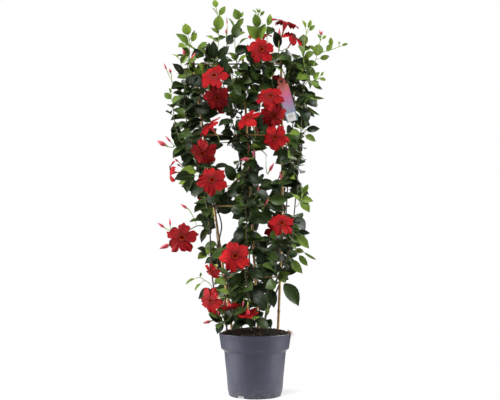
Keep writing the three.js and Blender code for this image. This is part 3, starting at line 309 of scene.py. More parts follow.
# on a bloom the map runs from -1 at the foot of the tube through 0 at its mouth to 1 at the petals' edge
def petalFinish(w):
    along, across = w.onBlade()
    tone = w.value("tone")
    velvet = w.noise(240.0, 4.0, 0.7)
    streak = w.noise(40.0, 3.0, 0.6)
    fan = (across * 21.0 + velvet * 0.5).ripple()
    veins = (1 - fan.band(0.06, 0.3)) * along.band(0.08, 0.4)
    red = (tone * 0.70 + streak * 0.40).mixed((0.12, 0.0013, 0.0032), (0.52, 0.0088, 0.0115))
    veined = (veins * 0.40).mixed(red, (0.12, 0.001, 0.003))
    # painted shade: the petals darken towards the throat, and the dark maroon ring round the throat is partly
    # the petals' own darker base and partly painted shade inside the funnel
    shaded = ((1 - along.band(0.10, 0.62)) * 0.55).mixed(veined, (0.13, 0.0012, 0.003))
    heartAndPaintedShade = (1 - along.band(0.04, 0.24)).mixed(shaded, (0.068, 0.0008, 0.0018))
    edge = (along.band(0.88, 1.0) * 0.30).mixed(heartAndPaintedShade, (0.60, 0.02, 0.028))
    throat = (1 - along.band(0.0, 0.03)).mixed(edge, (0.62, 0.060, 0.010))
    tube = along.band(-1.0, -0.45).mixed((0.36, 0.34, 0.10), (0.50, 0.035, 0.045))
    outside = 1 - (along > -0.04)
    colour = outside.mixed(throat, tube)
    relief = velvet * 0.5 - veins * 0.7
    return {"Base Color": colour, "Roughness": 0.50 + velvet * 0.18, "Height": (relief, 0.0007)}


def budFinish(w):
    along, across = w.onBlade()
    tone = w.value("tone")
    twist = (across * 5.0 + along * 1.6).ripple()
    red = tone.mixed((0.36, 0.008, 0.022), (0.62, 0.055, 0.11))
    streaked = (twist.band(0.1, 0.4) * 0.35).mixed(red, (0.72, 0.22, 0.24))
    colour = along.band(0.10, 0.42).mixed((0.30, 0.36, 0.10), streaked)
    return {"Base Color": colour, "Roughness": 0.42 + tone * 0.1, "Height": (twist, 0.0010)}


def labelFinish(w):
    along, across = w.onBlade()
    cloud = w.noise(34.0, 4.0, 0.7, (1, 1, 0.55))
    spray = w.noise(120.0, 5.0, 0.75, (1, 1, 0.25))
    drift = along + (cloud - 0.5) * 0.22
    sky = w.node("ShaderNodeValToRGB", {"stops": [
        (0.0, (0.090, 0.22, 0.26)), (0.20, (0.22, 0.30, 0.38)), (0.40, (0.38, 0.25, 0.40)),
        (0.58, (0.62, 0.15, 0.30)), (0.76, (0.84, 0.25, 0.23)), (1.0, (0.97, 0.18, 0.12)),
    ]}, {"Fac": drift})
    streak = spray.band(0.52, 0.62) * drift.band(0.25, 0.45) * (1 - drift.band(0.60, 0.78))
    magenta = (streak * (1 - across.band(0.45, 0.8))).mixed(sky, (0.62, 0.035, 0.24))
    haze = spray.band(0.60, 0.70) * drift.band(0.12, 0.3) * (1 - drift.band(0.45, 0.6))
    colour = (haze * 0.55).mixed(magenta, (0.55, 0.50, 0.56))
    return {"Base Color": colour, "Roughness": cloud * 0.08 + 0.24}


def stickerFinish(w):
    along, across = w.onBlade()
    wave = (along * 8.0).ripple()
    rows = (1 - wave.band(0.16, 0.24)) * along.band(0.40, 0.44) * (1 - along.band(0.86, 0.90))
    inside = across.band(0.18, 0.22) * (1 - across.band(0.76, 0.80))
    colour = (rows * inside * 0.85).mixed((0.80, 0.80, 0.79), (0.06, 0.07, 0.08))
    return {"Base Color": colour, "Roughness": 0.35 + w.noise(80.0) * 0.05}


finishes = {
    "floor": newMaterial("paleFloor", {
        "Roughness": 0.8, "Specular IOR Level": 0.0, "Emission Color": (1, 1, 1, 1), "Emission Strength": 0.5,
    }, floorFinish),
    "pot": newMaterial("mouldedPot", {
        "Specular IOR Level": 0.60, "Specular Tint": (0.89, 0.90, 1.0, 1.0),
    }, potFinish),
    "soil": newMaterial("pottingMix", {"Specular IOR Level": 0.08}, soilFinish),
    "bark": newMaterial("barkBits", {"Roughness": 0.8, "Specular IOR Level": 0.2}, barkFinish),
    "bamboo": newMaterial("bambooCane", {"Specular IOR Level": 0.45}, bambooFinish),
    "tie": newMaterial("softTie", {"Roughness": 0.45}, tieFinish),
    "leaf": newMaterial("leafBlade", {"Specular IOR Level": 0.20}, leafFinish),
    "stem": newMaterial("twiningStem", {"Specular IOR Level": 0.35}, stemFinish),
    "petal": newMaterial("velvetPetal", {"Specular IOR Level": 0.10}, petalFinish),
    "bud": newMaterial("pointedBud", {"Specular IOR Level": 0.45}, budFinish),
    "label": newMaterial("careLabel", {"Specular IOR Level": 0.6}, labelFinish),
    "sticker": newMaterial("blankSticker", {}, stickerFinish),
}
print("finishes made")


# what a user would change: the trellis, the label and the plant
caneRule = {"radius": 4.1, "steps": 8}
canes = {
    "left": {"top": 1052, "route": [(-47, 0, 40), (-123, 0, 545), (-199, 0, 1052)]},
    "middle": {"top": 1046, "route": [(17.5, 0, 40), (-9, 0, 520), (-38.5, 0, 1046)]},
    "right": {"top": 1060, "route": [(61, 0, 40), (76, 0, 329), (85, 0, 640), (83, 0, 1060)]},
}
barRule = {"radius": 2.4, "y": -7.2}
crossbars = [
    {"z": 353, "from": -109, "to": 96},
    {"z": 571, "from": -142, "to": 107},
    {"z": 794, "from": -176, "to": 104},
    {"z": 1022, "from": -211, "to": 106},
]
label = {"length": 132, "width": 36, "head": 13, "hole": 5, "shoulder": 11, "thickness": 0.9, "bow": 1.4,
         "hang": (82.5, -24, 961), "lean": 15.3, "sticker": (-130.6, -105, -14.4, 13.4),
         "paper": 0.16, "tie": 0.8, "tieSides": 8, "tieSteps": 5, "roundSteps": 20}

# a climber has a foot in the soil, a route of its own or a cane to wind round, thinner branches,
# and the leaves and buds on them
# radius: at the foot and at the tip; pairs: the height where its leaf pairs start and the gap between them
# branches: the gap between leaf pairs, or 0 for none, then the points of the route
# placed: base x and z, tip x, y and z, width, and if not 0, roll and 1 where the leaf is a light one
# buds: base x, y and z, tip x, y and z, width
climbers = {
    "stem_left_cane": {
        "cane": "left", "foot": (-86, -10), "from": 248, "top": 1036,
        "radius": (2.6, 1.5), "pairs": (300, 38),
        "branches": (
            (24, (-151, 0, 632), (-176, -8, 646), (-206, -34, 652)),
            (30, (-175, -15, 905), (-160, -42, 915), (-142, -50, 896)),
            (30, (-171, 0, 966), (-150, -36, 990), (-128, -44, 1010), (-110, -44, 1018)),
            (24, (-198, 14, 1014), (-196, 2, 1064), (-172, -30, 1066)),
            (0, (-117, 0, 409), (-136, -8, 418), (-150, -34, 424)),
            (26, (-142, -15, 690), (-120, -38, 672), (-98, -48, 652)),
        ),
        "placed": (
            (-148, 424, -172, -70, 440, 24, 15, 0), (-148, 424, -170, -76, 408, 26, 0, 1),
            (-150, 990, -141, -70, 1072, 26, 20, 0), (-128, 1010, -128, -80, 1074, 30),
        ),
    },
    "stem_left_free": {
        "foot": (-86, -30), "radius": (2.7, 1.4), "pairs": (540, 36),
        "route": (
            (-120, -34, 300), (-133, -28, 390), (-139, -26, 511), (-154, -30, 604), (-180, -34, 712),
            (-207, -34, 806), (-219, -30, 901), (-214, -28, 981), (-205, -30, 1040),
        ),
        "branches": (
            (0, (-86, -30, 206), (-96, -52, 222)),
            (0, (-138, -26, 500), (-170, -46, 508), (-206, -52, 492), (-246, -54, 490)),
            (36, (-182, -34, 716), (-216, -56, 748), (-240, -62, 800), (-250, -58, 858), (-252, -54, 896)),
            (0, (-175, -33, 694), (-204, -54, 688), (-222, -58, 686)),
            (0, (-190, -34, 744), (-226, -44, 754), (-250, -50, 750)),
            (0, (-219, -30, 918), (-240, -46, 934), (-258, -54, 954)),
            (0, (-216, -28, 962), (-204, -52, 982)),
        ),
        "placed": (
            (-204, 868, -138, -80, 856, 36), (-172, 655, -238, -84, 640, 40), (-166, 645, -180, -86, 588, 40),
            (-170, 668, -224, -70, 672, 30, 0, 1), (-214, 962, -250, -62, 1000, 26),
            (-205, 930, -176, -70, 972, 30), (-210, 760, -248, -76, 708, 32),
            (-138, 505, -162, -62, 456, 16, 20, 0), (-104, 318, -170, -46, 290, 36),
            (-204, 975, -160, -66, 926, 32), (-138, 520, -198, -66, 520, 20, 35, 1),
            (-94, 222, -60, -66, 232, 30), (-94, 222, -138, -72, 244, 26),
            (-94, 222, -112, -66, 186, 24, 15, 0), (-218, 940, -256, -70, 926, 34, 10, 0),
        ),
        "buds": (
            (-126, -58, 225, -156, -66, 218, 10), (-98, -56, 238, -87, -66, 291, 12),
            (-104, -60, 232, -110, -66, 261, 7), (-200, -56, 556, -225, -62, 572, 9),
            (-268, -58, 498, -294, -62, 516, 9), (-255, -56, 499, -257, -60, 531, 6),
            (-247, -58, 454, -287, -66, 437, 13), (-264, -56, 748, -300, -62, 766, 14),
            (-252, -52, 757, -275, -58, 783, 6), (-231, -60, 700, -244, -66, 709, 7),
            (-224, -60, 686, -237, -66, 694, 6), (-271, -58, 984, -281, -62, 1008, 7),
            (-259, -56, 976, -264, -60, 992, 9), (-214, -56, 1024, -223, -60, 1055, 9),
            (-198, -56, 1010, -184, -62, 1042, 12),
        ),
    },
    "stem_middle_front": {
        "foot": (-12, -44), "radius": (2.7, 1.4), "pairs": (225, 36),
        "route": (
            (-22, -46, 300), (-28, -44, 404), (-24, -42, 492), (-34, -42, 617), (-52, -42, 741),
            (-77, -42, 866), (-102, -40, 961), (-120, -38, 1036),
        ),
        "branches": (
            (0, (-56, -42, 760), (-86, -54, 762), (-112, -58, 758)),
            (26, (-30, -44, 560), (0, -52, 590), (20, -54, 620)),
            (26, (-36, -42, 625), (-62, -52, 640), (-84, -54, 612)),
            (30, (-92, -41, 925), (-62, -50, 950), (-34, -52, 985)),
            (28, (-46, -42, 700), (-20, -54, 735), (0, -56, 775)),
            (22, (-115, -38, 1020), (-98, -46, 1044), (-86, -48, 1072)),
        ),
        "placed": (
            (-26, 515, -62, -76, 455, 30, 10, 0), (-18, 330, 36, -88, 262, 40), (-84, 612, -58, -84, 590, 34),
            (-62, 640, -92, -84, 690, 36), (-84, 612, -84, -66, 575, 34), (-86, 1072, -66, -66, 1100, 26),
            (-26, 668, 22, -72, 632, 33), (-24, 350, -80, -74, 340, 34, 10, 0),
            (-118, 1020, -80, -62, 1066, 30), (-106, 965, -92, -70, 1030, 34),
        ),
        "buds": (
            (-34, -68, 288, -38, -74, 264, 7), (-90, -42, 1103, -90, -46, 1124, 6),
            (-87, -42, 1132, -88, -46, 1162, 4), (-22, -56, 722, -17, -62, 756, 5),
            (-6, -56, 710, -2, -62, 741, 8), (-10, -60, 712, -45, -66, 706, 11),
            (-64, -60, 646, -46, -64, 643, 5),
        ),
    },
    "stem_middle_cane": {
        "cane": "middle", "foot": (17, -10), "from": 260, "top": 1030,
        "radius": (2.6, 1.5), "pairs": (270, 38),
        "branches": (
            (26, (5, 0, 522), (26, -36, 560), (44, -50, 596)),
            (28, (-7, 0, 743), (18, -40, 740), (36, -50, 722)),
            (26, (-19, 0, 966), (0, -34, 1000), (24, -42, 1030), (40, -44, 1062)),
            (26, (-32, -13, 915), (-50, -34, 980), (-60, -44, 1040), (-61, -46, 1062)),
            (28, (18, 0, 297), (36, -32, 305), (48, -46, 326)),
            (26, (-4, -15, 464), (24, -38, 440), (46, -46, 410)),
        ),
        "placed": ((40, 590, 2, -78, 606, 30), (-14, 1000, -23, -70, 1068, 34), (60, 318, 56, -52, 262, 30)),
        "buds": (
            (38, -54, 664, 58, -60, 699, 9), (22, -60, 560, 40, -66, 588, 8), (6, -58, 604, 12, -64, 628, 6),
        ),
    },
    "stem_right_cane": {
        "cane": "right", "foot": (22, 14), "from": 345, "top": 1034,
        "radius": (2.6, 1.5), "pairs": (330, 38),
        "branches": (
            (26, (71, 0, 632), (56, -34, 644), (38, -48, 636)),
            (28, (86, -15, 690), (106, -36, 712), (122, -46, 740)),
            (0, (87, 14, 1014), (70, 2, 1036), (76, -44, 1058)),
            (26, (82, -15, 912), (58, -20, 936), (54, -42, 990), (62, -46, 1034)),
            (24, (98, 0, 966), (108, -32, 1000), (122, -42, 1024), (142, -44, 1036)),
            (26, (68, 0, 855), (44, -34, 850), (26, -46, 860)),
            (28, (78, -15, 464), (98, -34, 470), (106, -46, 490)),
        ),
        "placed": ((76, 1056, 58, -78, 1106, 30), (88, 640, 142, -66, 632, 24, 10, 0)),
        "buds": ((81, -54, 640, 74, -60, 672, 6), (73, -58, 1064, 76, -64, 1120, 12)),
    },
    "stem_right_outer": {
        "foot": (26, -34), "radius": (2.6, 1.4), "pairs": (380, 36),
        "route": (
            (44, -40, 300), (76, -42, 370), (107, -42, 450), (123, -42, 587), (134, -40, 710),
            (144, -38, 835), (148, -36, 929), (154, -34, 1018),
        ),
        "branches": (
            (0, (142, -38, 780), (160, -50, 804)), (30, (149, -36, 945), (164, -40, 975), (174, -40, 1004)),
            (28, (130, -41, 655), (112, -56, 680), (108, -58, 716)),
            (28, (147, -37, 870), (124, -50, 884), (120, -54, 920)),
        ),
        "placed": (
            (70, 356, 92, -62, 338, 26, 0, 1), (72, 360, 130, -62, 268, 42), (30, 228, 46, -78, 206, 27),
            (30, 232, 6, -84, 208, 28), (147, 880, 160, -66, 818, 34), (146, 797, 198, -62, 803, 22, 15, 0),
            (146, 795, 184, -66, 762, 20, 10, 1), (112, 490, 160, -78, 438, 27, 10, 1),
            (112, 500, 166, -62, 484, 16, 35, 0), (96, 425, 140, -70, 364, 26, 20, 1),
            (148, 900, 188, -74, 866, 24), (148, 915, 212, -66, 895, 11, 50, 1),
            (147, 890, 197, -66, 842, 10, 50, 1), (140, 790, 104, -74, 784, 26, 0, 1),
        ),
    },
    "stem_back_left": {
        "foot": (-44, 46), "radius": (2.7, 1.4), "pairs": (290, 44),
        "route": (
            (-88, 50, 300), (-116, 52, 450), (-132, 54, 600), (-166, 56, 750), (-176, 54, 880),
            (-150, 50, 1000), (-136, 40, 1062),
        ),
        "branches": (
            (34, (-160, 56, 720), (-200, 62, 760), (-222, 60, 800)),
            (34, (-176, 54, 890), (-214, 58, 930), (-226, 54, 980)),
            (34, (-128, 54, 570), (-160, 64, 600), (-190, 66, 620)),
        ),
        "buds": ((-206, 66, 640, -232, 72, 654, 10),),
    },
    "stem_back_middle": {
        "foot": (0, 56), "radius": (2.7, 1.4), "pairs": (225, 44),
        "route": (
            (12, 58, 300), (-8, 60, 450), (12, 60, 600), (0, 60, 750), (16, 58, 900), (28, 54, 1020),
            (44, 44, 1085),
        ),
        "branches": (
            (34, (-6, 60, 430), (-38, 64, 460), (-60, 66, 500)),
            (34, (6, 60, 640), (-34, 66, 670), (-60, 66, 710)),
            (34, (8, 59, 830), (-30, 64, 860), (-64, 64, 900), (-80, 60, 950)),
        ),
        "buds": ((-72, 66, 1002, -78, 72, 1034, 9),),
    },
    "stem_back_right": {
        "foot": (30, 42), "radius": (2.7, 1.4), "pairs": (290, 44),
        "route": (
            (52, 46, 300), (88, 50, 410), (102, 54, 600), (112, 56, 750), (128, 54, 900), (122, 48, 1020),
            (128, 40, 1058),
        ),
        "branches": (
            (34, (110, 55, 690), (140, 58, 720), (150, 56, 760)),
            (34, (124, 54, 880), (160, 52, 910), (172, 48, 950)),
        ),
    },
}

youngShoots = {
    "shoot_crown_left": {
        "route": (
            (-119, -46, 1026), (-114, -50, 1070), (-112, -54, 1110), (-113, -56, 1150), (-122, -56, 1190),
        ),
        "placed": (
            (-112, 1112, -110, -74, 1158, 34, 0, 1), (-114, 1154, -138, -62, 1187, 15, 50, 1),
            (-114, 1158, -92, -62, 1190, 18, 20, 1), (-113, 1096, -139, -54, 1125, 16, 35, 1),
            (-122, 1188, -127, -62, 1212, 19, 0, 1),
        ),
    },
    "shoot_crown_second": {
        "route": ((-61, -54, 1050), (-63, -56, 1090), (-60, -56, 1122), (-50, -56, 1148)),
        "placed": (
            (-50, 1146, -63, -72, 1178, 27, 0, 1), (-50, 1150, -36, -62, 1172, 10, 20, 1),
            (-60, 1122, -35, -66, 1150, 18, 25, 1), (-63, 1110, -83, -58, 1154, 13, 40, 1),
            (-63, 1090, -52, -42, 1126, 36),
        ),
    },
    "shoot_crown_third": {
        "route": ((8, -46, 1046), (10, -50, 1080), (10, -54, 1120), (10, -58, 1166)),
        "placed": (
            (10, 1120, 0, -74, 1161, 28, 0, 1), (10, 1158, -10, -62, 1178, 9, 30, 1),
            (10, 1165, 4, -62, 1184, 8, 30, 1), (10, 1165, 15, -62, 1182, 7, 30, 1),
            (10, 1156, 30, -64, 1174, 10, 30, 1), (10, 1078, -25, -68, 1127, 33),
            (10, 1082, 32, -78, 1128, 28, 0, 1),
        ),
    },
    "shoot_crown_upright": {
        "route": ((40, -53, 1052), (37, -58, 1090), (34, -60, 1122)),
        "placed": ((35, 1116, 48, -66, 1164, 20, 30, 1), (36, 1104, 18, -60, 1146, 14, 45, 1)),
    },
    "shoot_left_crown": {
        "route": ((-207, -38, 1026), (-204, -48, 1060), (-205, -54, 1088), (-209, -56, 1104)),
        "placed": (
            (-207, 1098, -215, -70, 1132, 29, 0, 1), (-208, 1104, -227, -60, 1130, 8, 20, 1),
            (-204, 1068, -244, -66, 1101, 27, 10, 1), (-204, 1068, -180, -62, 1106, 17, 25, 1),
            (-204, 1080, -186, -60, 1114, 8, 30, 1), (-204, 1060, -232, -84, 1044, 32, 0, 1),
        ),
    },
    "shoot_left_middle": {
        "route": ((-222, -40, 980), (-228, -52, 1000), (-230, -60, 1020)),
        "placed": ((-229, 1016, -256, -64, 1036, 14, 40, 1), (-229, 1010, -208, -68, 1034, 20, 25, 1)),
    },
    "shoot_left_side": {
        "route": ((-252, -60, 884), (-256, -66, 892), (-255, -70, 904)),
        "placed": (
            (-255, 892, -277, -70, 913, 21, 0, 1), (-255, 894, -228, -78, 892, 22, 0, 1),
            (-255, 904, -262, -70, 926, 9, 30, 1),
        ),
    },
    "shoot_right_crown": {
        "route": ((152, -44, 1008), (150, -50, 1040), (155, -54, 1080), (160, -56, 1110)),
        "placed": (
            (159, 1106, 146, -62, 1146, 12, 25, 1), (160, 1110, 174, -62, 1147, 13, 20, 1),
            (159, 1104, 186, -62, 1129, 13, 20, 1), (151, 1050, 147, -30, 1078, 24),
            (151, 1046, 164, -30, 1074, 26, 0, 1), (150, 1030, 184, -66, 1042, 25),
            (150, 1026, 132, -74, 1052, 28),
        ),
    },
    "shoot_right_tip": {
        "route": ((177, -49, 996), (188, -54, 1022), (196, -56, 1054), (204, -56, 1088)),
        "branches": ((0, (194, -54, 1042), (234, -56, 1052), (262, -58, 1062)),),
        "placed": (
            (192, 1030, 199, -48, 1074, 32, 0, 1), (203, 1080, 193, -60, 1102, 9, 20, 1),
            (203, 1080, 221, -60, 1097, 9, 20, 1), (218, 1048, 238, -72, 1062, 22),
            (234, 1054, 234, -64, 1090, 15, 0, 1), (258, 1060, 288, -62, 1070, 9, 20, 1),
            (260, 1061, 260, -60, 1079, 6, 20, 1), (190, 1022, 230, -64, 1030, 16, 40, 0),
        ),
        "buds": ((203, -60, 1096, 200, -62, 1114, 6), (205, -58, 1094, 209, -60, 1112, 6)),
    },
    "shoot_right_side": {
        "route": ((152, -44, 940), (162, -58, 952), (180, -66, 952), (198, -68, 958)),
        "placed": (
            (168, 954, 150, -78, 972, 15, 0, 1), (178, 952, 196, -84, 974, 18, 0, 1),
            (197, 957, 218, -70, 952, 12, 10, 1), (198, 958, 210, -68, 980, 8, 20, 1),
            (176, 952, 192, -78, 928, 24), (164, 952, 206, -70, 922, 13, 30, 1),
        ),
    },
    "shoot_right_low": {
        "route": ((126, -48, 566), (136, -58, 580), (142, -62, 604)),
        "placed": (
            (141, 594, 160, -68, 632, 15, 10, 1), (138, 584, 174, -74, 580, 21, 10, 1),
            (136, 580, 162, -80, 546, 26), (137, 582, 112, -74, 600, 16, 20, 1),
            (142, 602, 137, -64, 628, 7, 20, 1),
        ),
    },
    "shoot_left_low": {
        "route": ((-126, -42, 316), (-136, -52, 334), (-150, -58, 344), (-166, -60, 354)),
        "placed": (
            (-166, 354, -208, -64, 332, 15, 40, 1), (-150, 344, -180, -68, 312, 14, 40, 1),
            (-165, 353, -162, -62, 368, 7, 20, 1),
        ),
    },
    "shoot_right_drop": {
        "route": ((112, -48, 430), (120, -56, 434), (128, -60, 440)),
        "placed": (
            (122, 435, 146, -72, 428, 17, 0, 1), (128, 440, 184, -64, 404, 8, 30, 1),
            (124, 437, 106, -74, 452, 14, 0, 1), (118, 434, 156, -70, 386, 19, 20, 1),
        ),
    },
}

# middle of the mouth x, y and z, the way it faces, diameter and turn in degrees
bloomRows = [
    (-124, -104, 956, -0.1, -0.88, 0.44, 92, 10), (-116, -88, 893, 0.1, -0.85, -0.5, 84, 40),
    (96, -60, 1140, 0.27, -0.3, 0.91, 90, 0), (122, -66, 1088, 0.5, -0.55, 0.67, 76, 20),
    (20, -96, 1040, 0.22, -0.96, 0.1, 88, 30), (14, 2, 1122, -0.05, -0.3, 0.95, 78, 15),
    (46, -108, 892, 0.02, -0.88, 0.46, 88, 55), (56, -88, 838, 0.15, -0.82, -0.55, 84, 20),
    (60, -92, 770, -0.28, -0.95, -0.1, 82, 57), (-22, -78, 832, -0.45, -0.62, 0.64, 84, 35),
    (-140, -84, 808, -0.62, -0.45, 0.64, 84, 5), (-157, -80, 724, -0.25, -0.84, -0.48, 86, 25),
    (-126, -122, 637, -0.04, -0.98, 0.2, 94, 52), (-257, -68, 667, -0.97, -0.15, -0.05, 68, 15),
    (-216, -102, 469, -0.05, -0.98, 0.18, 97, 20), (-58, -126, 415, 0.04, -0.98, 0.16, 94, 45),
    (-127, -92, 370, -0.5, -0.6, -0.6, 58, 0), (79, -96, 512, 0.12, -0.9, 0.42, 78, 30),
    (-131, -100, 286, -0.58, -0.78, -0.22, 84, 64), (-73, -78, 262, 0.28, -0.3, -0.91, 66, 10),
    (-21, -84, 243, 0.05, 0.3, -0.95, 64, 48), (-128, 118, 930, -0.12, 0.94, 0.26, 88, 22),
    (66, 120, 985, 0.2, 0.9, 0.36, 86, 50), (-166, 120, 640, -0.3, 0.93, 0.12, 90, 8),
    (32, 124, 860, 0.02, 0.96, 0.2, 92, 33), (74, 114, 505, 0.22, 0.95, 0.1, 88, 61),
    (-66, 122, 410, -0.1, 0.95, 0.2, 90, 18),
]

# seen from the front, the leaf tips stay inside this outline: x and z all the way round
outline = [
    (-128, 196), (-160, 206), (-132, 240), (-165, 285), (-165, 310), (-130, 330), (-112, 352), (-118, 380),
    (-168, 400), (-168, 440), (-140, 450), (-150, 480), (-170, 500), (-195, 530), (-190, 560), (-172, 575),
    (-200, 600), (-225, 620), (-246, 640), (-240, 670), (-225, 690), (-240, 712), (-262, 735), (-240, 760),
    (-250, 790), (-275, 810), (-258, 830), (-284, 852), (-258, 870), (-280, 900), (-262, 925), (-250, 950),
    (-262, 985), (-240, 1010), (-235, 1040), (-222, 1065), (-190, 1062), (-165, 1052), (-150, 1085),
    (-120, 1098), (-90, 1100), (-65, 1110), (-48, 1082), (-30, 1112), (0, 1118), (50, 1128), (85, 1118),
    (100, 1075), (115, 1058), (150, 1052), (170, 1088), (182, 1060), (190, 1030), (215, 1010), (205, 985),
    (180, 970), (195, 930), (180, 905), (205, 880), (190, 845), (175, 822), (165, 800), (160, 770),
    (150, 740), (146, 700), (140, 660), (150, 635), (165, 610), (172, 580), (160, 548), (145, 530),
    (150, 500), (165, 478), (160, 440), (140, 425), (150, 390), (135, 368), (112, 352), (96, 330), (78, 330),
    (60, 300), (48, 262), (38, 240), (40, 200), (0, 196),
]

# gaps between the leaves that the background shows through: x and z from and to
clearings = [
    (-124, -66, 702, 740), (6, 54, 706, 742), (28, 74, 652, 694), (-118, -80, 456, 546), (-88, -66, 642, 668),
    (98, 126, 550, 590), (58, 90, 818, 842), (-128, -100, 828, 854), (10, 44, 490, 508), (-54, -24, 866, 878),
    (-98, -70, 374, 400), (40, 64, 196, 250), (-20, -8, 396, 420),
]


# the set-out: the same rule as the solids, so every blade keeps its place
def point(*numbers):
    return np.array(numbers, float)


def path(rows):
    return [point(*row) for row in rows]


def unit(a):
    return a / math.sqrt(float(a @ a))


def across(a, n):  # a less its share along n, as a unit vector
    return unit(a - n * float(a @ n))


def sideOf(way, guide, other):  # square to the way, from whichever guide doesn't lie along it
    return across(guide if abs(float(way @ guide)) < 0.9 else other, way)


def turned(a, axis, angle):
    c, s = math.cos(angle), math.sin(angle)
    return a * c + np.cross(axis, a) * s + axis * float(axis @ a) * (1 - c)


def mix(a, b, t):
    return a + (b - a) * t


up = point(0, 0, 1)
front = point(0, 1, 0)
aside = point(1, 0, 0)


def drawsFrom(seed):  # a small multiplicative generator, the same as the solids use
    state = [seed]

    def draw():
        state[0] = (state[0] * 16807) % 2147483647
        return state[0] / 2147483647

    return draw


def smoothAt(points, i, t):  # a smooth curve through the points, at share t of span i
    last = len(points) - 1
    b, c = points[i], points[i + 1]
    a = points[i - 1] if i else 2 * b - c
    d = points[i + 2] if i + 2 <= last else 2 * c - b
    m, n = (c - a) * 0.5, (d - b) * 0.5
    return b + m * t + (3 * (c - b) - 2 * m - n) * t * t + (2 * (b - c) + m + n) * t**3


def smoothLine(points, steps):  # the same curve as a line, in so many steps for each span
    spans = range(len(points) - 1)
    return [smoothAt(points, i, k / steps) for i in spans for k in range(steps)] + [points[-1]]


class Room:  # every box that a leaf has to keep clear of
    def __init__(self, most=9000):
        self.count = 0
        self.owners, self.kinds = [], []
        self.centres, self.axes = np.zeros((most, 3)), np.zeros((most, 3, 3))
        self.halves, self.reaches = np.zeros((most, 3)), np.zeros(most)

    def add(self, box):
        i = self.count
        self.owners.append(box["owner"])
        self.kinds.append(box["kind"])
        self.centres[i], self.axes[i], self.halves[i] = box["centre"], box["axes"], box["half"]
        self.reaches[i] = math.sqrt(float(box["half"] @ box["half"]))
        self.count += 1

    def met(self, box):  # the owners and kinds of the boxes that this one meets
        n = self.count
        reach = math.sqrt(float(box["half"] @ box["half"]))
        between = self.centres[:n] - box["centre"]
        near = np.nonzero(np.einsum("ij,ij->i", between, between) <= (self.reaches[:n] + reach) ** 2)[0]
        if not len(near):
            return []
        mine = np.broadcast_to(box["axes"], (len(near), 3, 3))
        theirs = self.axes[near]
        crossed = np.cross(mine[:, :, None, :], theirs[:, None, :, :]).reshape(len(near), 9, 3)
        ways = np.concatenate([mine, theirs, crossed], axis=1)
        spread = np.abs(np.einsum("kwi,kai->kwa", ways, mine)) @ box["half"]
        spread += np.einsum("kwa,ka->kw", np.abs(np.einsum("kwi,kai->kwa", ways, theirs)), self.halves[near])
        apart = np.abs(np.einsum("kwi,ki->kw", ways, between[near])) > spread
        apart &= np.einsum("kwi,kwi->kw", ways, ways) >= 1e-6
        return [(self.owners[k], self.kinds[k]) for k in near[~apart.any(axis=1)]]


room = Room()


def boxOf(owner, kind, centre, axes, half):
    axes, half = np.array(axes), np.array(half, float)
    return {"owner": owner, "kind": kind, "centre": centre, "axes": axes, "half": half}


def segmentBox(owner, kind, a, b, radius):
    along = b - a
    length = math.sqrt(float(along @ along))
    along = along / length
    side = sideOf(along, front, up)
    axes = [along, side, np.cross(along, side)]
    return boxOf(owner, kind, (a + b) * 0.5, axes, [length / 2, radius, radius])


def keepClear(kind, centre, half, axes):
    room.add(boxOf(kind, kind, centre, axes, half))


leafRule = {
    "boxThickness": 7, "middle": 0.57, "lift": 0.02, "half": 0.43,  # a leaf's box, in shares of its length
    "placedFace": (0, -0.94, 0.34), "handFace": (0, -0.8, 0.6),  # the way that listed leaves face
    "shifts": (0, -8, 8, -16, 16, -24, 24, -34),  # how far their tips may move to find room
}


def makeLeaf(owner, base, tip, width, face, kind="leaf"):
    along = tip - base
    length = math.sqrt(float(along @ along))
    along = along / length
    normal = across(face, along)
    side = np.cross(normal, along)
    centre = mix(base, tip, leafRule["middle"]) + normal * leafRule["lift"] * length
    half = [leafRule["half"] * length, width / 2 + 0.6, leafRule["boxThickness"] / 2]
    box = boxOf(owner, kind, centre, [along, side, normal], half)
    return {"base": base, "tip": tip, "length": length, "width": width, "normal": normal, "box": box}


def setLeaf(plant, root, tip, width, way, roll, kind="leaf"):
    along = unit(tip - root["at"])
    face = turned(across(point(*way), along), along, math.radians(roll))
    return makeLeaf(plant["name"], root["at"], tip, width, face, kind)


def keepLeaf(plant, leaf, root, youth, shade=1):
    leaf.update(root=root["fine"], youth=youth, shade=shade)
    plant["leaves"].append(leaf)
    room.add(leaf["box"])


def isClear(box):
    return all(owner == box["owner"] and kind == "stem" for owner, kind in room.met(box))


def isPlacedClear(box):
    return all(kind in ("lane", "clearing") or owner == box["owner"] for owner, kind in room.met(box))


def pointAtHeight(cane, z):
    points = caneLines[cane]
    i = 0
    while i < len(points) - 2 and points[i + 1][2] < z:
        i += 1
    a, b = points[i], points[i + 1]
    return mix(a, b, (z - a[2]) / (b[2] - a[2]))


stemRule = {
    "step": 7,  # leaves and flower stalks may start at every step along a stem
    "smooth": 6,  # steps in each span of the drawn line
    "feet": (150, 206),  # heights of a stem's first two points, one in the soil and one above it
    "turn": 223, "reach": 15,  # a winding stem's height for one turn, and how far out it runs
    "twig": (1.7, 1.3), "shoot": (1.0, 1.2), "shootTwig": (1.4, 1.0),  # radius at the foot and at the tip
    "flowerStalk": (0, 1.4, 1.7), "budStalk": (0, 1.2, 1.5), "thickestBudStalk": 1.4,
    "thinnest": 0.6,  # no drawn stalk is thinner
}


def twineRoute(cane, start, top):
    turn, reach = stemRule["turn"], stemRule["reach"]
    points = []
    z = start
    while z < top:
        spot = pointAtHeight(cane, z)
        angle = math.pi / 2 + 2 * math.pi * (z - crossbars[0]["z"]) / turn
        points.append(point(spot[0] + reach * math.cos(angle), reach * math.sin(angle), z))
        z += turn / 6
    return points


def nearest(spot, samples):
    return min(samples, key=lambda s: float((s["at"] - spot) @ (s["at"] - spot)))


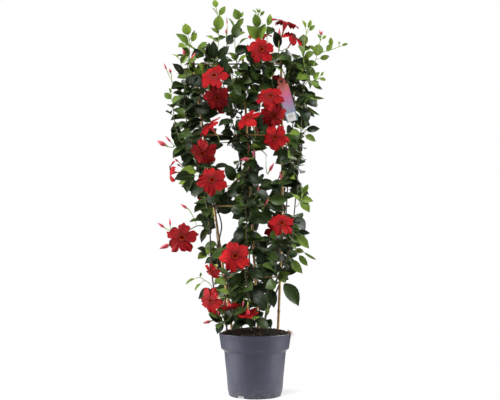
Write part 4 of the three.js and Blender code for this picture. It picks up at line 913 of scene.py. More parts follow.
# adds a stem or twig: its boxes, the places where leaves may start, and the smooth line to draw
def addRoute(plant, points, radii, youth, fineStart=None):
    last = len(points) - 1
    stout = [max(r, stemRule["thinnest"]) for r in radii]
    samples = []

    def radiusAt(t):
        return radii[0] + (radii[1] - radii[0]) * t if len(radii) == 2 else radii[round(t * last)]

    def keep(at, fine, radius):
        samples.append({"at": at, "fine": fine, "plant": plant, "radius": radius})

    finePoints = [fineStart if fineStart is not None else points[0], *points[1:]]
    for i in range(last):
        a, b = points[i], points[i + 1]
        count = max(1, math.floor(math.dist(a, b) / stemRule["step"] + 0.5))
        for k in range(0 if i else 1, count):
            keep(mix(a, b, k / count), smoothAt(finePoints, i, k / count), radiusAt((i + k / count) / last))
        widest = max(radiusAt(i / last), radiusAt((i + 1) / last)) + 0.5
        room.add(segmentBox(plant["name"], "stem", a, b, widest))
    keep(mix(points[last], points[last - 1], 0.12), smoothAt(finePoints, last - 1, 0.88), radiusAt(1))
    line = smoothLine(finePoints, stemRule["smooth"])
    girths = []
    for k in range(len(line)):
        t = k / (len(line) - 1)
        i = min(int(t * last), last - 1)
        girths.append(radiusAt(t) if len(radii) == 2 else mix(stout[i], stout[i + 1], t * last - i))
    plant["lines"].append((line, girths, youth))
    return samples


def addBranch(plant, samples, route, radii, youth):  # a twig from the nearest place on its parent
    root = nearest(point(*route[0]), samples)
    return addRoute(plant, [root["at"], *path(route[1:])], radii, youth, root["fine"])


caneLines = {}
for caneName, cane in canes.items():
    caneLines[caneName] = smoothLine(path(cane["route"]), caneRule["steps"])
    for a, b in zip(caneLines[caneName], caneLines[caneName][1:]):
        room.add(segmentBox("cane", "cane", a, b, caneRule["radius"] + 1.2))
for bar in crossbars:
    ends = [point(bar[end], barRule["y"], bar["z"]) for end in ("from", "to")]
    room.add(segmentBox("bar", "bar", *ends, barRule["radius"] + 0.8))
square = [aside, front, up]
# half width, half depth and height
potBlocks = ((108, 46, 188), (46, 108, 188), (80, 80, 188), (64, 64, 200))
for x, y, top in potBlocks:
    keepClear("pot", point(0, 0, top / 2), [x, y, top / 2], square)

plants = []


def newPlant(name, spec, youth):
    made = {"name": name, "spec": spec, "youth": youth}
    for gathered in ("samples", "lines", "leaves", "buds", "routes"):
        made[gathered] = []
    plants.append(made)
    return made


# youth: 0 for old wood, 1 for the freshest green
for name, spec in climbers.items():
    plant = newPlant(name, spec, 0.0)
    feet = [point(*spec["foot"], z) for z in stemRule["feet"]]
    rest = twineRoute(spec["cane"], spec["from"], spec["top"]) if "cane" in spec else path(spec["route"])
    samples = addRoute(plant, feet + rest, spec["radius"], 0.0)
    plant["samples"] += samples
    plant["routes"].append((samples, *spec["pairs"]))
    for gap, *route in spec["branches"]:
        twig = addBranch(plant, samples, route, stemRule["twig"], 0.35)
        plant["samples"] += twig
        if gap:
            plant["routes"].append((twig, 0, gap))
stemSamples = [s for plant in plants for s in plant["samples"]]
for name, spec in youngShoots.items():
    plant = newPlant(name, spec, 1.0)
    first, *others = path(spec["route"])
    host = nearest(first, stemSamples)
    away = unit(first - host["at"])
    foot = host["at"] + away * (host["radius"] + 1.15)
    samples = addRoute(plant, [foot, first, *others], stemRule["shoot"], 0.9, host["fine"])
    plant["samples"] += samples
    for _, *route in spec.get("branches", ()):
        plant["samples"] += addBranch(plant, samples, route, stemRule["shootTwig"], 0.9)
allSamples = [s for plant in plants for s in plant["samples"]]

bloomRule = {
    "across": 90, "tube": 46,  # the tube's length on a bloom of this diameter
    "blockDepth": 9, "blockShare": 0.44, "tubeBlock": 7,  # the room that a bloom and its tube take up
    "laneFrom": 45, "laneHalf": 40, "laneShare": 0.4,  # the lane in front of a bloom that leaves keep out of
}
blooms = []
for i, (x, y, z, fx, fy, fz, diameter, turn) in enumerate(bloomRows):
    centre, facing = point(x, y, z), unit(point(fx, fy, fz))
    foot = centre - facing * bloomRule["tube"] * diameter / bloomRule["across"]
    blooms.append({"name": f"bloom_{i + 1:02d}", "centre": centre, "facing": facing, "foot": foot,
                   "diameter": diameter, "turn": turn})
for bloom in blooms:
    end = bloom["foot"] - bloom["facing"] * 0.35
    host = nearest(end, allSamples)
    middle = mix(host["at"], end, 0.5) - bloom["facing"] * 0.15 * math.dist(host["at"], end)
    addRoute(host["plant"], [host["at"], middle, end], stemRule["flowerStalk"], 0.85, host["fine"])
for plant in plants:
    for bx, by, bz, tx, ty, tz, width in plant["spec"].get("buds", ()):
        foot, tip = point(bx, by, bz), point(tx, ty, tz)
        host = nearest(foot, plant["samples"])
        middle = mix(host["at"], mix(foot, tip, -0.25), 0.55)
        belly = mix(foot, tip, 0.42)
        radii = [*stemRule["budStalk"], width / 2, 0]
        addRoute(plant, [host["at"], middle, foot, belly, tip], radii, 0.85, host["fine"])
        line, girths, youth = plant["lines"].pop()  # the bud itself is a form of its own
        stalk = 2 * stemRule["smooth"] + 1
        girths = [min(g, stemRule["thickestBudStalk"]) for g in girths[:stalk]]
        plant["lines"].append((line[:stalk], girths, youth))
        plant["buds"].append((foot, tip, width))

for bloom in blooms:
    p = bloomRule
    centre, facing, diameter = bloom["centre"], bloom["facing"], bloom["diameter"]
    side = sideOf(facing, up, aside)
    wide = diameter * p["blockShare"]
    bloomAxes = [facing, side, np.cross(facing, side)]
    keepClear("bloom", centre - facing * 6, [p["blockDepth"], wide, wide], bloomAxes)
    room.add(segmentBox("bloom", "bloom", bloom["foot"], centre, p["tubeBlock"]))
    lane = centre + point(0, p["laneFrom"] if facing[1] > 0.5 else -p["laneFrom"], 0)
    wide, high = (diameter * p["laneShare"] * math.sqrt(1 - facing[i] ** 2) + 3 for i in (0, 2))
    keepClear("lane", lane, [wide, p["laneHalf"], high], square)
labelMiddle = point(*label["hang"]) + point(0.27, 0, -1) * label["length"] / 2
labelAxes = [turned(axis, front, -math.radians(label["lean"])) for axis in square]
halfWidth, halfLength = label["width"] / 2, label["length"] / 2
beforeLabel = labelMiddle + point(0, -48, 0)
keepClear("tag", labelMiddle, [halfWidth + 2, 5, halfLength + 14], labelAxes)
keepClear("tag", beforeLabel, [halfWidth, 44, halfLength + 12], labelAxes)
for x0, x1, z0, z1 in clearings:
    middle = point((x0 + x1) / 2, 0, (z0 + z1) / 2)
    keepClear("clearing", middle, [(x1 - x0) / 2 - 2, 150, (z1 - z0) / 2 - 2], square)


def youthAt(plant, leaf, light):  # the young shoots pale towards their tips, and low light leaves are darker
    if plant["youth"]:
        heights = [s["at"][2] for s in plant["samples"]]
        share = (leaf["base"][2] - min(heights)) / max(40, max(heights) - min(heights))
        return 0.5 + 0.5 * share
    return light * min(0.85, max(0.4, leaf["tip"][2] / 1150))


for plant in plants:
    for baseX, baseZ, tipX, tipY, tipZ, width, *rest in plant["spec"].get("placed", ()):
        roll, light = rest or (0, 0)
        root = min(plant["samples"], key=lambda s: math.hypot(s["at"][0] - baseX, s["at"][2] - baseZ))
        for shift in leafRule["shifts"]:
            tip = point(tipX, tipY + shift, tipZ)
            leaf = setLeaf(plant, root, tip, width, leafRule["placedFace"], roll, "placed")
            if isPlacedClear(leaf["box"]):
                keepLeaf(plant, leaf, root, youthAt(plant, leaf, light), 1 if light else 0.5)
                break


def insideOutline(spot):
    x, z = spot[0], spot[2]
    inside = False
    for i, (x1, z1) in enumerate(outline):
        x0, z0 = outline[i - 1]
        if (z0 > z) != (z1 > z) and x < x0 + (x1 - x0) * (z - z0) / (z1 - z0):
            inside = not inside
    return inside


def roomAround(spot):  # how far a leaf stands from the nearest leaf or bloom on its side of the trellis
    n = room.count
    kinds = np.array([kind in ("leaf", "placed", "bloom") for kind in room.kinds])
    centres = room.centres[:n][kinds]
    centres = centres[(centres[:, 1] > 20) == (spot[1] > 20)]
    if not len(centres):
        return math.inf
    return float(np.hypot(centres[:, 0] - spot[0], centres[:, 2] - spot[2]).min())


foliage = {
    "seed": 20177,
    "length": (49, 67),
    "width": (0.54, 0.63),
    "droop": (0, 0.9),
    "flatten": 0.65,
    "high": (1e4, 1.0),  # above this height the leaves are this much shorter
    "turn": 50, "roll": 0.9,  # the most that chance turns a leaf round its stem, in degrees, and rolls it
    "outward": 0.3, "onward": 0.25, "faceUp": 0.45, "faceOut": 0.9,  # how it grows and faces
    # turns in degrees that a leaf tries, and its size at each
    "tries": [(0, 1), (28, 1), (-28, 1), (56, 0.92), (-56, 0.92), (84, 0.84), (-84, 0.84),
              (0, 0.72), (45, 0.72), (-45, 0.72)],
}
draw = drawsFrom(foliage["seed"])


def ranged(name, share):
    low, high = foliage[name]
    return low + (high - low) * share


def addPair(plant, sample, along, start, young=None):
    root = sample["at"]
    side = across(front, along)
    other = np.cross(along, side)
    outward = unit(point(0.25 * math.copysign(1, root[0] + 20), 1 if root[1] > 25 else -1, 0))
    for opposite in (0, 180):
        draws = [draw() for _ in range(5)]
        length = ranged("length", draws[0]) * (foliage["high"][1] if root[2] > foliage["high"][0] else 1.0)
        width = length * ranged("width", draws[1])
        droop = ranged("droop", draws[2])
        best, most = None, -1.0
        for turn, shrink in foliage["tries"]:
            angle = math.radians(45 + start + opposite + (draws[3] - 0.5) * foliage["turn"] + turn)
            way = side * math.cos(angle) + other * math.sin(angle)
            way[1] *= foliage["flatten"]
            way = unit(way + outward * foliage["outward"] + along * foliage["onward"] - up * droop)
            tip = root + way * length * shrink
            face = across(up * foliage["faceUp"] + outward * foliage["faceOut"], way)
            face = turned(face, way, (draws[4] - 0.5) * foliage["roll"])
            leaf = makeLeaf(plant["name"], root, tip, width * shrink, face)
            if not insideOutline(tip) or not isClear(leaf["box"]):
                continue
            free = roomAround(leaf["box"]["centre"])
            if free > most:
                best, most = leaf, free
        if best:
            keepLeaf(plant, best, sample, young(best) if young else 0.0)


# pairs along each route, every pair turned a quarter from the last
def addPairs(offset, part=1.0, lower=0, young=None):
    for plant in plants:
        for samples, start, gap in plant["routes"]:
            quarter, walked, due = 0, 0.0, gap * offset
            for i in range(1, len(samples) - 1):
                root = samples[i]["at"]
                if root[2] < start - lower:
                    continue
                walked += math.dist(root, samples[i - 1]["at"])
                if walked < due:
                    continue
                due += gap * part
                quarter += 1
                along = unit(samples[i + 1]["at"] - samples[i - 1]["at"])
                addPair(plant, samples[i], along, quarter * 90, young)


addPairs(0.5)
print("leaves as in the solids:", sum(len(plant["leaves"]) for plant in plants))

# the rest of the foliage: thinner boxes let more leaves stand between and behind the first ones
filling = {
    "boxThickness": 2.0, "passes": ((0.0, 0.75), (0.3, 0.62), (0.15, 0.5)),
    "length": (60, 80), "droop": (-0.1, 0.9),
    "high": (1030, 0.66),  # above this height they are this much shorter
    "lower": 45,  # how much further down the stems they start
    # from and to: the heights over which young leaves become common
    "young": {"from": 840, "to": 1160, "share": 0.85, "least": 0.10, "small": 45, "youth": (0.35, 0.95),
              "seed": 7},
}
# leaves listed one by one over the soil, in front of the canes and at the crown:
# base x, y and z, tip x, y and z, width, roll and youth
handLeaves = [
    (-66, -62, 248, -92, -97, 222, 36, 0, 0.0), (-30, -66, 220, -68, -104, 204, 34, 20, 0.0),
    (-40, -60, 232, -14, -104, 205, 30, -20, 0.0), (8, -62, 240, 40, -101, 203, 28, 0, 0.0),
    (-86, -66, 262, -104, -97, 286, 24, 0, 0.1), (-104, -70, 236, -140, -86, 254, 22, 0, 0.35),
    (-80, -60, 222, -108, -92, 204, 30, 30, 0.0), (-58, -50, 262, -62, -98, 244, 26, 0, 0.1),
    (-63, -15, 1104, -50, -35, 1134, 33, 10, 0.12), (-4, -15, 1102, -20, -30, 1136, 31, -10, 0.1),
    (38, -12, 1100, 55, -30, 1136, 30, 10, 0.05), (29, -20, 1103, 24, -40, 1133, 23, 20, 0.55),
    (-113, -15, 1085, -94, -35, 1105, 23, 0, 0.1), (-113, -15, 1077, -126, -35, 1099, 23, 0, 0.25),
    (-124, -20, 1048, -137, -45, 1075, 23, 0, 0.05), (-87, -15, 1072, -69, -35, 1097, 23, 10, 0.15),
    (-127, -20, 1082, -154, -40, 1103, 13, 0, 0.8), (-55, -20, 1089, -30, -45, 1114, 11, 20, 0.9),
    (-49, -20, 1076, -20, -45, 1096, 11, -10, 0.9), (-198, -20, 1054, -219, -45, 1075, 28, 10, 0.6),
    (149, -20, 1064, 151, -45, 1107, 32, -15, 0.35), (185, -20, 1036, 167, -40, 1073, 15, 0, 0.6),
    (-127, -55, 359, -86, -80, 329, 27, 10, 0.5), (-36, -50, 361, -76, -72, 334, 29, -10, 0.12),
    (-119, -35, 314, -170, -55, 289, 32, 0, 0.05), (-19, -40, 314, -61, -62, 288, 18, 10, 0.1),
    (-50, -40, 328, -72, -55, 308, 8, 0, 0.1), (79, -35, 339, 104, -50, 366, 29, 10, 0.5),
    (-40, -45, 512, -60, -60, 452, 28, -10, 0.05), (-108, -70, 229, -138, -95, 248, 19, 0, 0.15),
    (-91, -70, 217, -59, -92, 257, 31, 10, 0.1), (-112, -72, 279, -95, -95, 245, 21, 0, 0.2),
    (-109, -55, 387, -74, -85, 357, 19, 0, 0.1), (-44, -50, 316, -94, -80, 288, 19, 10, 0.08),
    (-123, -60, 305, -74, -90, 305, 17, 0, 0.3), (33, -40, 271, 36, -60, 240, 12, 0, 0.55),
    (-135, -30, 516, -163, -55, 458, 21, 0, 0.1), (-160, -40, 554, -136, -60, 526, 24, 0, 0.05),
    (-60, -52, 1086, -50, -82, 1134, 31, 0, 0.12), (-149, -15, 1049, -142, -48, 1036, 18, 0, 0.08),
    (-202, -25, 1052, -227, -50, 1067, 25, 0, 0.7), (-69, -20, 1022, -82, -62, 1042, 23, 0, 0.4),
    (150, -20, 1015, 163, -45, 1043, 21, 0, 0.5), (185, -15, 1043, 166, -40, 1071, 16, 0, 0.35),
    (-217, -20, 1034, -245, -45, 1039, 12, 0, 0.15), (-91, -20, 1015, -150, -60, 1018, 17, 0, 0.02),
    (-77, -20, 1023, -98, -60, 1012, 17, 0, 0.02), (-124, -20, 1104, -135, -40, 1128, 17, 0, 0.3),
    (-31, -15, 1025, -22, -62, 1034, 20, 0, 0.75),
]
youngChance = random.Random(filling["young"]["seed"])


def fillYouth(leaf):
    y = filling["young"]
    share = (leaf["tip"][2] - y["from"]) / (y["to"] - y["from"])
    if youngChance.random() > y["share"] * min(1, max(y["least"] / y["share"], share)):
        return 0.0
    return youngChance.uniform(*y["youth"]) * min(1, y["small"] / leaf["length"]) ** 1.5


leafKinds = np.array([kind in ("leaf", "placed") for kind in room.kinds])
room.halves[:room.count][leafKinds, 2] = filling["boxThickness"] / 2
leafRule["boxThickness"] = filling["boxThickness"]
foliage.update(droop=filling["droop"], length=filling["length"], high=filling["high"])
for bx, by, bz, tx, ty, tz, width, roll, youth in handLeaves:
    root = nearest(point(bx, by, bz), allSamples)
    leaf = setLeaf(root["plant"], root, point(tx, ty, tz), width, leafRule["handFace"], roll)
    keepLeaf(root["plant"], leaf, root, youth)
for offset, part in filling["passes"]:
    addPairs(offset, part, filling["lower"], fillYouth)
print("leaves in all:", sum(len(plant["leaves"]) for plant in plants))


# meshes: small helpers
def circle(radius, count):
    turns = [2 * math.pi * i / count for i in range(count)]
    return [(radius * math.cos(a), radius * math.sin(a)) for a in turns]


def keepNumbers(mesh, numbers):  # one number or vector for each point, under its name
    for name, values in numbers.items():
        values = np.array(values, float)
        kind, field = ("FLOAT_VECTOR", "vector") if values.ndim == 2 else ("FLOAT", "value")
        mesh.attributes.new(name, kind, "POINT").data.foreach_set(field, values.ravel())


def meshFrom(name, points, faces, spots=None, numbers=None):
    made = bpy.data.meshes.new(name)
    made.from_pydata([tuple(p) for p in points], [], faces)
    if spots is not None:  # the piece's own surface map, one place for each point
        layer = made.uv_layers.new(name="UVMap")
        for loop in made.loops:
            layer.data[loop.index].uv = spots[loop.vertex_index]
    keepNumbers(made, numbers or {})
    made.polygons.foreach_set("use_smooth", [True] * len(made.polygons))
    return made


def linesMesh(name, lines, mark="youth"):  # lines: points in mm, a girth for each, and the mark they carry
    points, edges, girths, marks = [], [], [], []
    for line, girth, value in lines:
        start = len(points)
        points += [tuple(p * mm) for p in line]
        girths += [g * mm for g in girth]
        marks += list(np.broadcast_to(value, len(line)))
        edges += [(start + i, start + i + 1) for i in range(len(line) - 1)]
    made = bpy.data.meshes.new(name)
    made.from_pydata(points, edges, [])
    keepNumbers(made, {"girth": girths, mark: marks})
    return made


def spotsMesh(name, spots):  # spots: place in mm, axes, size in metres, form, tone and youth
    made = bpy.data.meshes.new(name)
    made.from_pydata([tuple(s["place"] * mm) for s in spots], [], [])
    turns = [tuple(Matrix([list(a) for a in s["axes"]]).transposed().to_euler()) for s in spots]
    keepNumbers(made, {"turn": turns, "size": [s["size"] for s in spots]})
    keepNumbers(made, {key: [s[key] for s in spots] for key in ("form", "tone", "youth")})
    return made


def skin(count, ring):  # faces between count rings of points
    faces = []
    for r in range(count - 1):
        for i in range(ring):
            j = (i + 1) % ring
            faces.append((r * ring + i, r * ring + j, (r + 1) * ring + j, (r + 1) * ring + i))
    return faces


# profile: radius and height from the lower pole to the upper one, both of radius 0
def latheMesh(name, profile, sides, twist=0.0, spots=None, ripple=None):
    points, places, faces = [(0, 0, profile[0][1])], [(spots[0] if spots else 0, 0.5)], []
    inner = profile[1:-1]
    for k, (radius, z) in enumerate(inner):
        for i in range(sides):
            angle = 2 * math.pi * i / sides + twist * k
            r, h = ripple(radius, z, angle) if ripple else (radius, z)
            points.append((r * math.cos(angle), r * math.sin(angle), h))
            places.append((spots[k + 1] if spots else 0, i / sides))
    points.append((0, 0, profile[-1][1]))
    places.append((spots[-1] if spots else 0, 0.5))
    faces += [(0, 1 + (i + 1) % sides, 1 + i) for i in range(sides)]
    faces += [tuple(1 + v for v in face) for face in skin(len(inner), sides)]
    top, last = len(points) - 1, 1 + (len(inner) - 1) * sides
    faces += [(top, last + i, last + (i + 1) % sides) for i in range(sides)]
    return meshFrom(name, points, faces, places)


# two skins on one rim: upper and under give a point for row i and column j; pointed ends meet in one
def sheetMesh(name, rows, columns, upper, under, pointed):
    index, points, places, faces = {}, [], [], []

    def spot(i, j, below):
        rim = j in (0, columns) or i in (0, rows)
        if pointed and i in (0, rows):
            j = columns // 2
        key = (i, j, below and not rim)
        if key not in index:
            index[key] = len(points)
            points.append((under if key[2] else upper)(i, j))
            places.append((i / rows + (2.0 if key[2] and pointed else 0.0), j / columns))
        return index[key]

    for below in (False, True):
        for i in range(rows):
            for j in range(columns):
                corners = ((i, j), (i + 1, j), (i + 1, j + 1), (i, j + 1))
                face = list(dict.fromkeys(spot(*corner, below) for corner in corners))
                faces.append(face[::-1] if below else face)
    made = meshFrom(name, points, faces, places)
    rim = {index[key] for key in index if key[0] in (0, rows) or key[1] in (0, columns)}
    sharp = made.attributes.new("sharp_edge", "BOOLEAN", "EDGE")
    sharp.data.foreach_set("value", [e.vertices[0] in rim and e.vertices[1] in rim for e in made.edges])
    return made


def formsFrom(name, meshes):  # a collection of forms that a tree picks from, in the order of their names
    made = bpy.data.collections.new(name)
    for mesh in meshes:
        made.objects.link(bpy.data.objects.new(mesh.name, mesh))
    return made


def dropForms(collection):
    for form in list(collection.objects):
        bpy.data.objects.remove(form)
    bpy.data.collections.remove(collection)


# Geometry Nodes: the trees that follow lines, stand forms on points and scatter chips
def newTree(name, sockets):
    tree = bpy.data.node_groups.new(name, "GeometryNodeTree")
    for way in ("INPUT", "OUTPUT"):
        tree.interface.new_socket("Geometry", in_out=way, socket_type="NodeSocketGeometry")
    for label, kind in sockets.items():
        tree.interface.new_socket(label, in_out="INPUT", socket_type="NodeSocket" + kind)
    given = tree.nodes.new("NodeGroupInput")
    return {s.name: Wire(tree, s) for s in given.outputs if s.name}


def closeTree(shape, finish):
    real = shape.node("GeometryNodeRealizeInstances", None, {"Geometry": shape})
    coated = shape.node("GeometryNodeSetMaterial", None, {"Geometry": real, "Material": finish})
    shape.node("NodeGroupOutput", None, {"Geometry": coated})
    return shape.tree


def keptOn(w, name, vector=False):  # an attribute that the mesh carries
    settings = {"data_type": "FLOAT_VECTOR"} if vector else None
    return w.node("GeometryNodeInputNamedAttribute", settings, {"Name": name})


def turnFrom(w, angles):
    return w.node("FunctionNodeEulerToRotation", None, {"Euler": angles})


def standForms(w, points, given, pick, turn, size):  # one of the given forms on every point
    inputs = {"Collection": given["Forms"], "Separate Children": True, "Reset Children": True}
    forms = w.node("GeometryNodeCollectionInfo", None, inputs)
    return w.node("GeometryNodeInstanceOnPoints", None, {
        "Points": points, "Instance": forms, "Pick Instance": True, "Instance Index": pick, "Rotation": turn,
        "Scale": size,
    })


def makeTubeTree():  # a round tube along every line, as thick as the girth kept on its points
    given = newTree("tubesAlongLines", {"Sides": "Int", "Finish": "Material"})
    w = given["Geometry"]
    curve = w.node("GeometryNodeMeshToCurve", None, {"Mesh": w})
    ring = w.node("GeometryNodeCurvePrimitiveCircle", None, {"Resolution": given["Sides"], "Radius": 1.0})
    inputs = {"Curve": curve, "Profile Curve": ring, "Scale": keptOn(w, "girth"), "Fill Caps": True}
    tube = w.node("GeometryNodeCurveToMesh", None, inputs)
    smooth = w.node("GeometryNodeSetShadeSmooth", None, {"Geometry": tube})
    return closeTree(smooth, given["Finish"])


def makeFormTree():  # stands one of a collection's forms on every point, turned and sized as kept there
    given = newTree("formsOnPoints", {"Forms": "Collection", "Finish": "Material"})
    w = given["Geometry"]
    points = w.node("GeometryNodeMeshToPoints", None, {"Mesh": w})
    turn = turnFrom(w, keptOn(w, "turn", True))
    form = w.node("FunctionNodeFloatToInt", None, {"Float": keptOn(w, "form")})
    return closeTree(standForms(w, points, given, form, turn, keptOn(w, "size", True)), given["Finish"])


def makeScatterTree():  # scatters chips over a surface, each picked, turned, sized and toned at random
    given = newTree("chipsOnSoil", {
        "Forms": "Collection", "Last Form": "Int", "Finish": "Material", "Count per m2": "Float",
        "Smallest": "Float", "Largest": "Float", "Seed": "Int",
    })
    w = given["Geometry"]
    seed = given["Seed"]

    def anyFrom(kind, low, high, seed):
        return w.node("FunctionNodeRandomValue", {"data_type": kind}, {"Min": low, "Max": high, "Seed": seed})

    spread = w.node("GeometryNodeDistributePointsOnFaces", None, {
        "Mesh": w, "Density": given["Count per m2"], "Seed": seed,
    })
    turn = turnFrom(w, anyFrom("FLOAT_VECTOR", (-0.5, -0.5, 0), (0.5, 0.5, 6.3), seed))
    size = anyFrom("FLOAT", given["Smallest"], given["Largest"], seed + 1)
    pick = anyFrom("INT", 0, given["Last Form"], seed + 2)
    stood = standForms(w, spread, given, pick, turn, size)
    toned = w.node("GeometryNodeStoreNamedAttribute", {"domain": "INSTANCE"}, {
        "Geometry": stood, "Name": "tone", "Value": anyFrom("FLOAT", 0.0, 1.0, seed + 3),
    })
    return closeTree(toned, given["Finish"])


trees = {"tube": makeTubeTree(), "form": makeFormTree(), "scatter": makeScatterTree()}


def grown(mesh, tree, values):  # runs a tree on a mesh and returns the plain mesh that it makes
    holder = linked(mesh.name, mesh)
    modifier = holder.modifiers.new("grow", "NODES")
    modifier.node_group = trees[tree]
    for socket in trees[tree].interface.items_tree:
        if socket.in_out == "INPUT" and socket.name in values:
            modifier[socket.identifier] = values[socket.name]
    made = plainMesh(holder)
    for name in ("turn", "size", "form", "girth"):
        if name in made.attributes:
            made.attributes.remove(made.attributes[name])
    return made


def tubes(name, lines, sides, finish, mark="youth"):
    return grown(linesMesh(name, lines, mark), "tube", {"Sides": sides, "Finish": finishes[finish]})


def grownForms(name, spots, forms, finish):
    return grown(spotsMesh(name, spots), "form", {"Forms": forms, "Finish": finishes[finish]})


def makePiece(name, meshes, nodes):  # one object from its meshes, which rides and stands for its nodes
    parts = [linked(name, mesh) for mesh in meshes]
    if len(parts) > 1:
        with bpy.context.temp_override(active_object=parts[0], selected_editable_objects=parts):
            bpy.ops.object.join()
    piece = parts[0]
    piece.name = piece.data.name = name
    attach(piece, "root")
    if nodes:
        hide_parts(*nodes)


def dressed(mesh, finish):
    mesh.materials.clear()
    mesh.materials.append(finishes[finish])
    return mesh


# leaves, stems and buds
blade = {
    # along the blade, and half its width
    "outline": ((0, 0), (0.055, 0.17), (0.16, 0.355), (0.31, 0.475), (0.47, 0.50), (0.63, 0.445),
                (0.78, 0.31), (0.91, 0.115), (1, 0)),
    "across": (-1, -0.48, 0, 0.48, 1),
    "thickness": 0.010, "rib": 0.012, "foldPower": 1.3, "waves": 11,
    # arch, droop, fold, wave, bend and phase
    "forms": ((0.075, 0.03, 0.10, 0.010, 0.00, 0.0), (0.05, 0.07, 0.20, 0.020, 0.035, 1.2),
              (0.10, 0.00, 0.04, 0.014, -0.03, 2.4), (0.03, 0.05, 0.30, 0.016, 0.02, 3.9),
              (0.085, 0.05, 0.13, 0.026, -0.025, 5.1)),
}


def bladeMesh(number, form):
    arch, droop, fold, wave, bend, phase = form
    rows, columns = len(blade["outline"]) - 1, len(blade["across"]) - 1

    def upper(i, j):
        t, half = blade["outline"][i]
        s = blade["across"][j]
        lift = arch * 4 * t * (1 - t) - droop * t * t + fold * abs(s) ** blade["foldPower"] * half
        lift += wave * math.sin(blade["waves"] * t + phase + 2 * s) * s * s
        return t, s * half + bend * 4 * t * (1 - t), lift

    def under(i, j):
        x, y, z = upper(i, j)
        rib = blade["rib"] * (1 - 0.7 * x) if blade["across"][j] == 0 else 0
        return x, y, z - blade["thickness"] - rib

    return sheetMesh(f"leafForm{number}", rows, columns, upper, under, True)


budShape = {
    "profile": ((0, 0), (0.11, 0.01), (0.21, 0.05), (0.17, 0.12), (0.24, 0.24), (0.42, 0.36), (0.5, 0.48),
                (0.46, 0.60), (0.34, 0.74), (0.17, 0.88), (0, 1)),  # radius and height in a bud's length
    "sides": 9, "ridges": 5,
    "forms": ((0.34, 0.07), (0.24, 0.10)),  # twist from ring to ring, and the ridges' share of the radius
}


def budMesh(number, form):
    twist, ridge = form
    profile = budShape["profile"]

    def ripple(r, z, angle):
        return r * (1 + ridge * math.cos(budShape["ridges"] * (angle - twist * z * budShape["sides"]))), z

    made = latheMesh(f"budForm{number}", profile, budShape["sides"], twist, [z for _, z in profile], ripple)
    made.transform(Matrix(((0, 0, 1, 0), (0, -1, 0, 0), (1, 0, 0, 0), (0, 0, 0, 1))))  # laid along X
    return made


leafForms = formsFrom("leafForms", [bladeMesh(i, form) for i, form in enumerate(blade["forms"])])
budForms = formsFrom("budForms", [budMesh(i, form) for i, form in enumerate(budShape["forms"])])
print("leaf and bud forms made")


# the plants: each one's stems, stalks, leaves and buds make one piece
leafLook = {"seed": 41, "shortestStalk": 0.10, "longestStalk": 0.35, "arch": 0.065,
            "stalkGirth": (1.05, 0.8), "stalkSteps": 3, "stemSides": 7}
leafChance = random.Random(leafLook["seed"])


def stalkAndBlade(plant, leaf, spots):
    length, width, normal = leaf["length"], leaf["width"], leaf["normal"]
    share = min(leafLook["longestStalk"], max(leafLook["shortestStalk"], 1 - 1.9 * width / length))
    rise = normal * leafLook["arch"] * length * 4 * share * (1 - share)
    start = mix(leaf["base"], leaf["tip"], share) + rise
    along = unit(leaf["tip"] - start)
    normal = across(normal, along)
    reach = math.dist(start, leaf["tip"])
    spots.append({
        "place": start, "axes": (along, np.cross(normal, along), normal),
        "size": (reach * mm, width * mm, reach * mm), "form": leafChance.randrange(len(blade["forms"])),
        "tone": leafChance.random() * leaf["shade"], "youth": leaf["youth"],
    })
    ends = [leaf["root"], mix(leaf["root"], start, 0.55) + normal * 0.035 * length, start + along * 2.5]
    line = smoothLine(ends, leafLook["stalkSteps"])
    thick, thin = leafLook["stalkGirth"]
    last = len(line) - 1
    girths = [thick + (thin - thick) * k / last for k in range(last + 1)]
    plant["lines"].append((line, girths, max(0.55, leaf["youth"])))


for plant in plants:
    leafSpots, budSpots = [], []
    for leaf in plant["leaves"]:
        stalkAndBlade(plant, leaf, leafSpots)
    for foot, tip, width in plant["buds"]:
        along = unit(tip - foot)
        side = sideOf(along, front, up)
        reach = math.dist(foot, tip)
        budSpots.append({
            "place": foot, "axes": (along, side, np.cross(along, side)),
            "size": (reach * mm, width * mm, width * mm),
            "form": leafChance.randrange(len(budShape["forms"])), "tone": leafChance.random(), "youth": 1.0,
        })
    meshes = [tubes("stems", plant["lines"], leafLook["stemSides"], "stem")]
    meshes.append(grownForms("leaves", leafSpots, leafForms, "leaf"))
    if budSpots:
        meshes.append(grownForms("buds", budSpots, budForms, "bud"))
    name = plant["name"].replace("stem_", "climber_").replace("shoot_", "youngShoot_")
    makePiece(name, meshes, [plant["name"]])
print("plants grown:", len(plants))

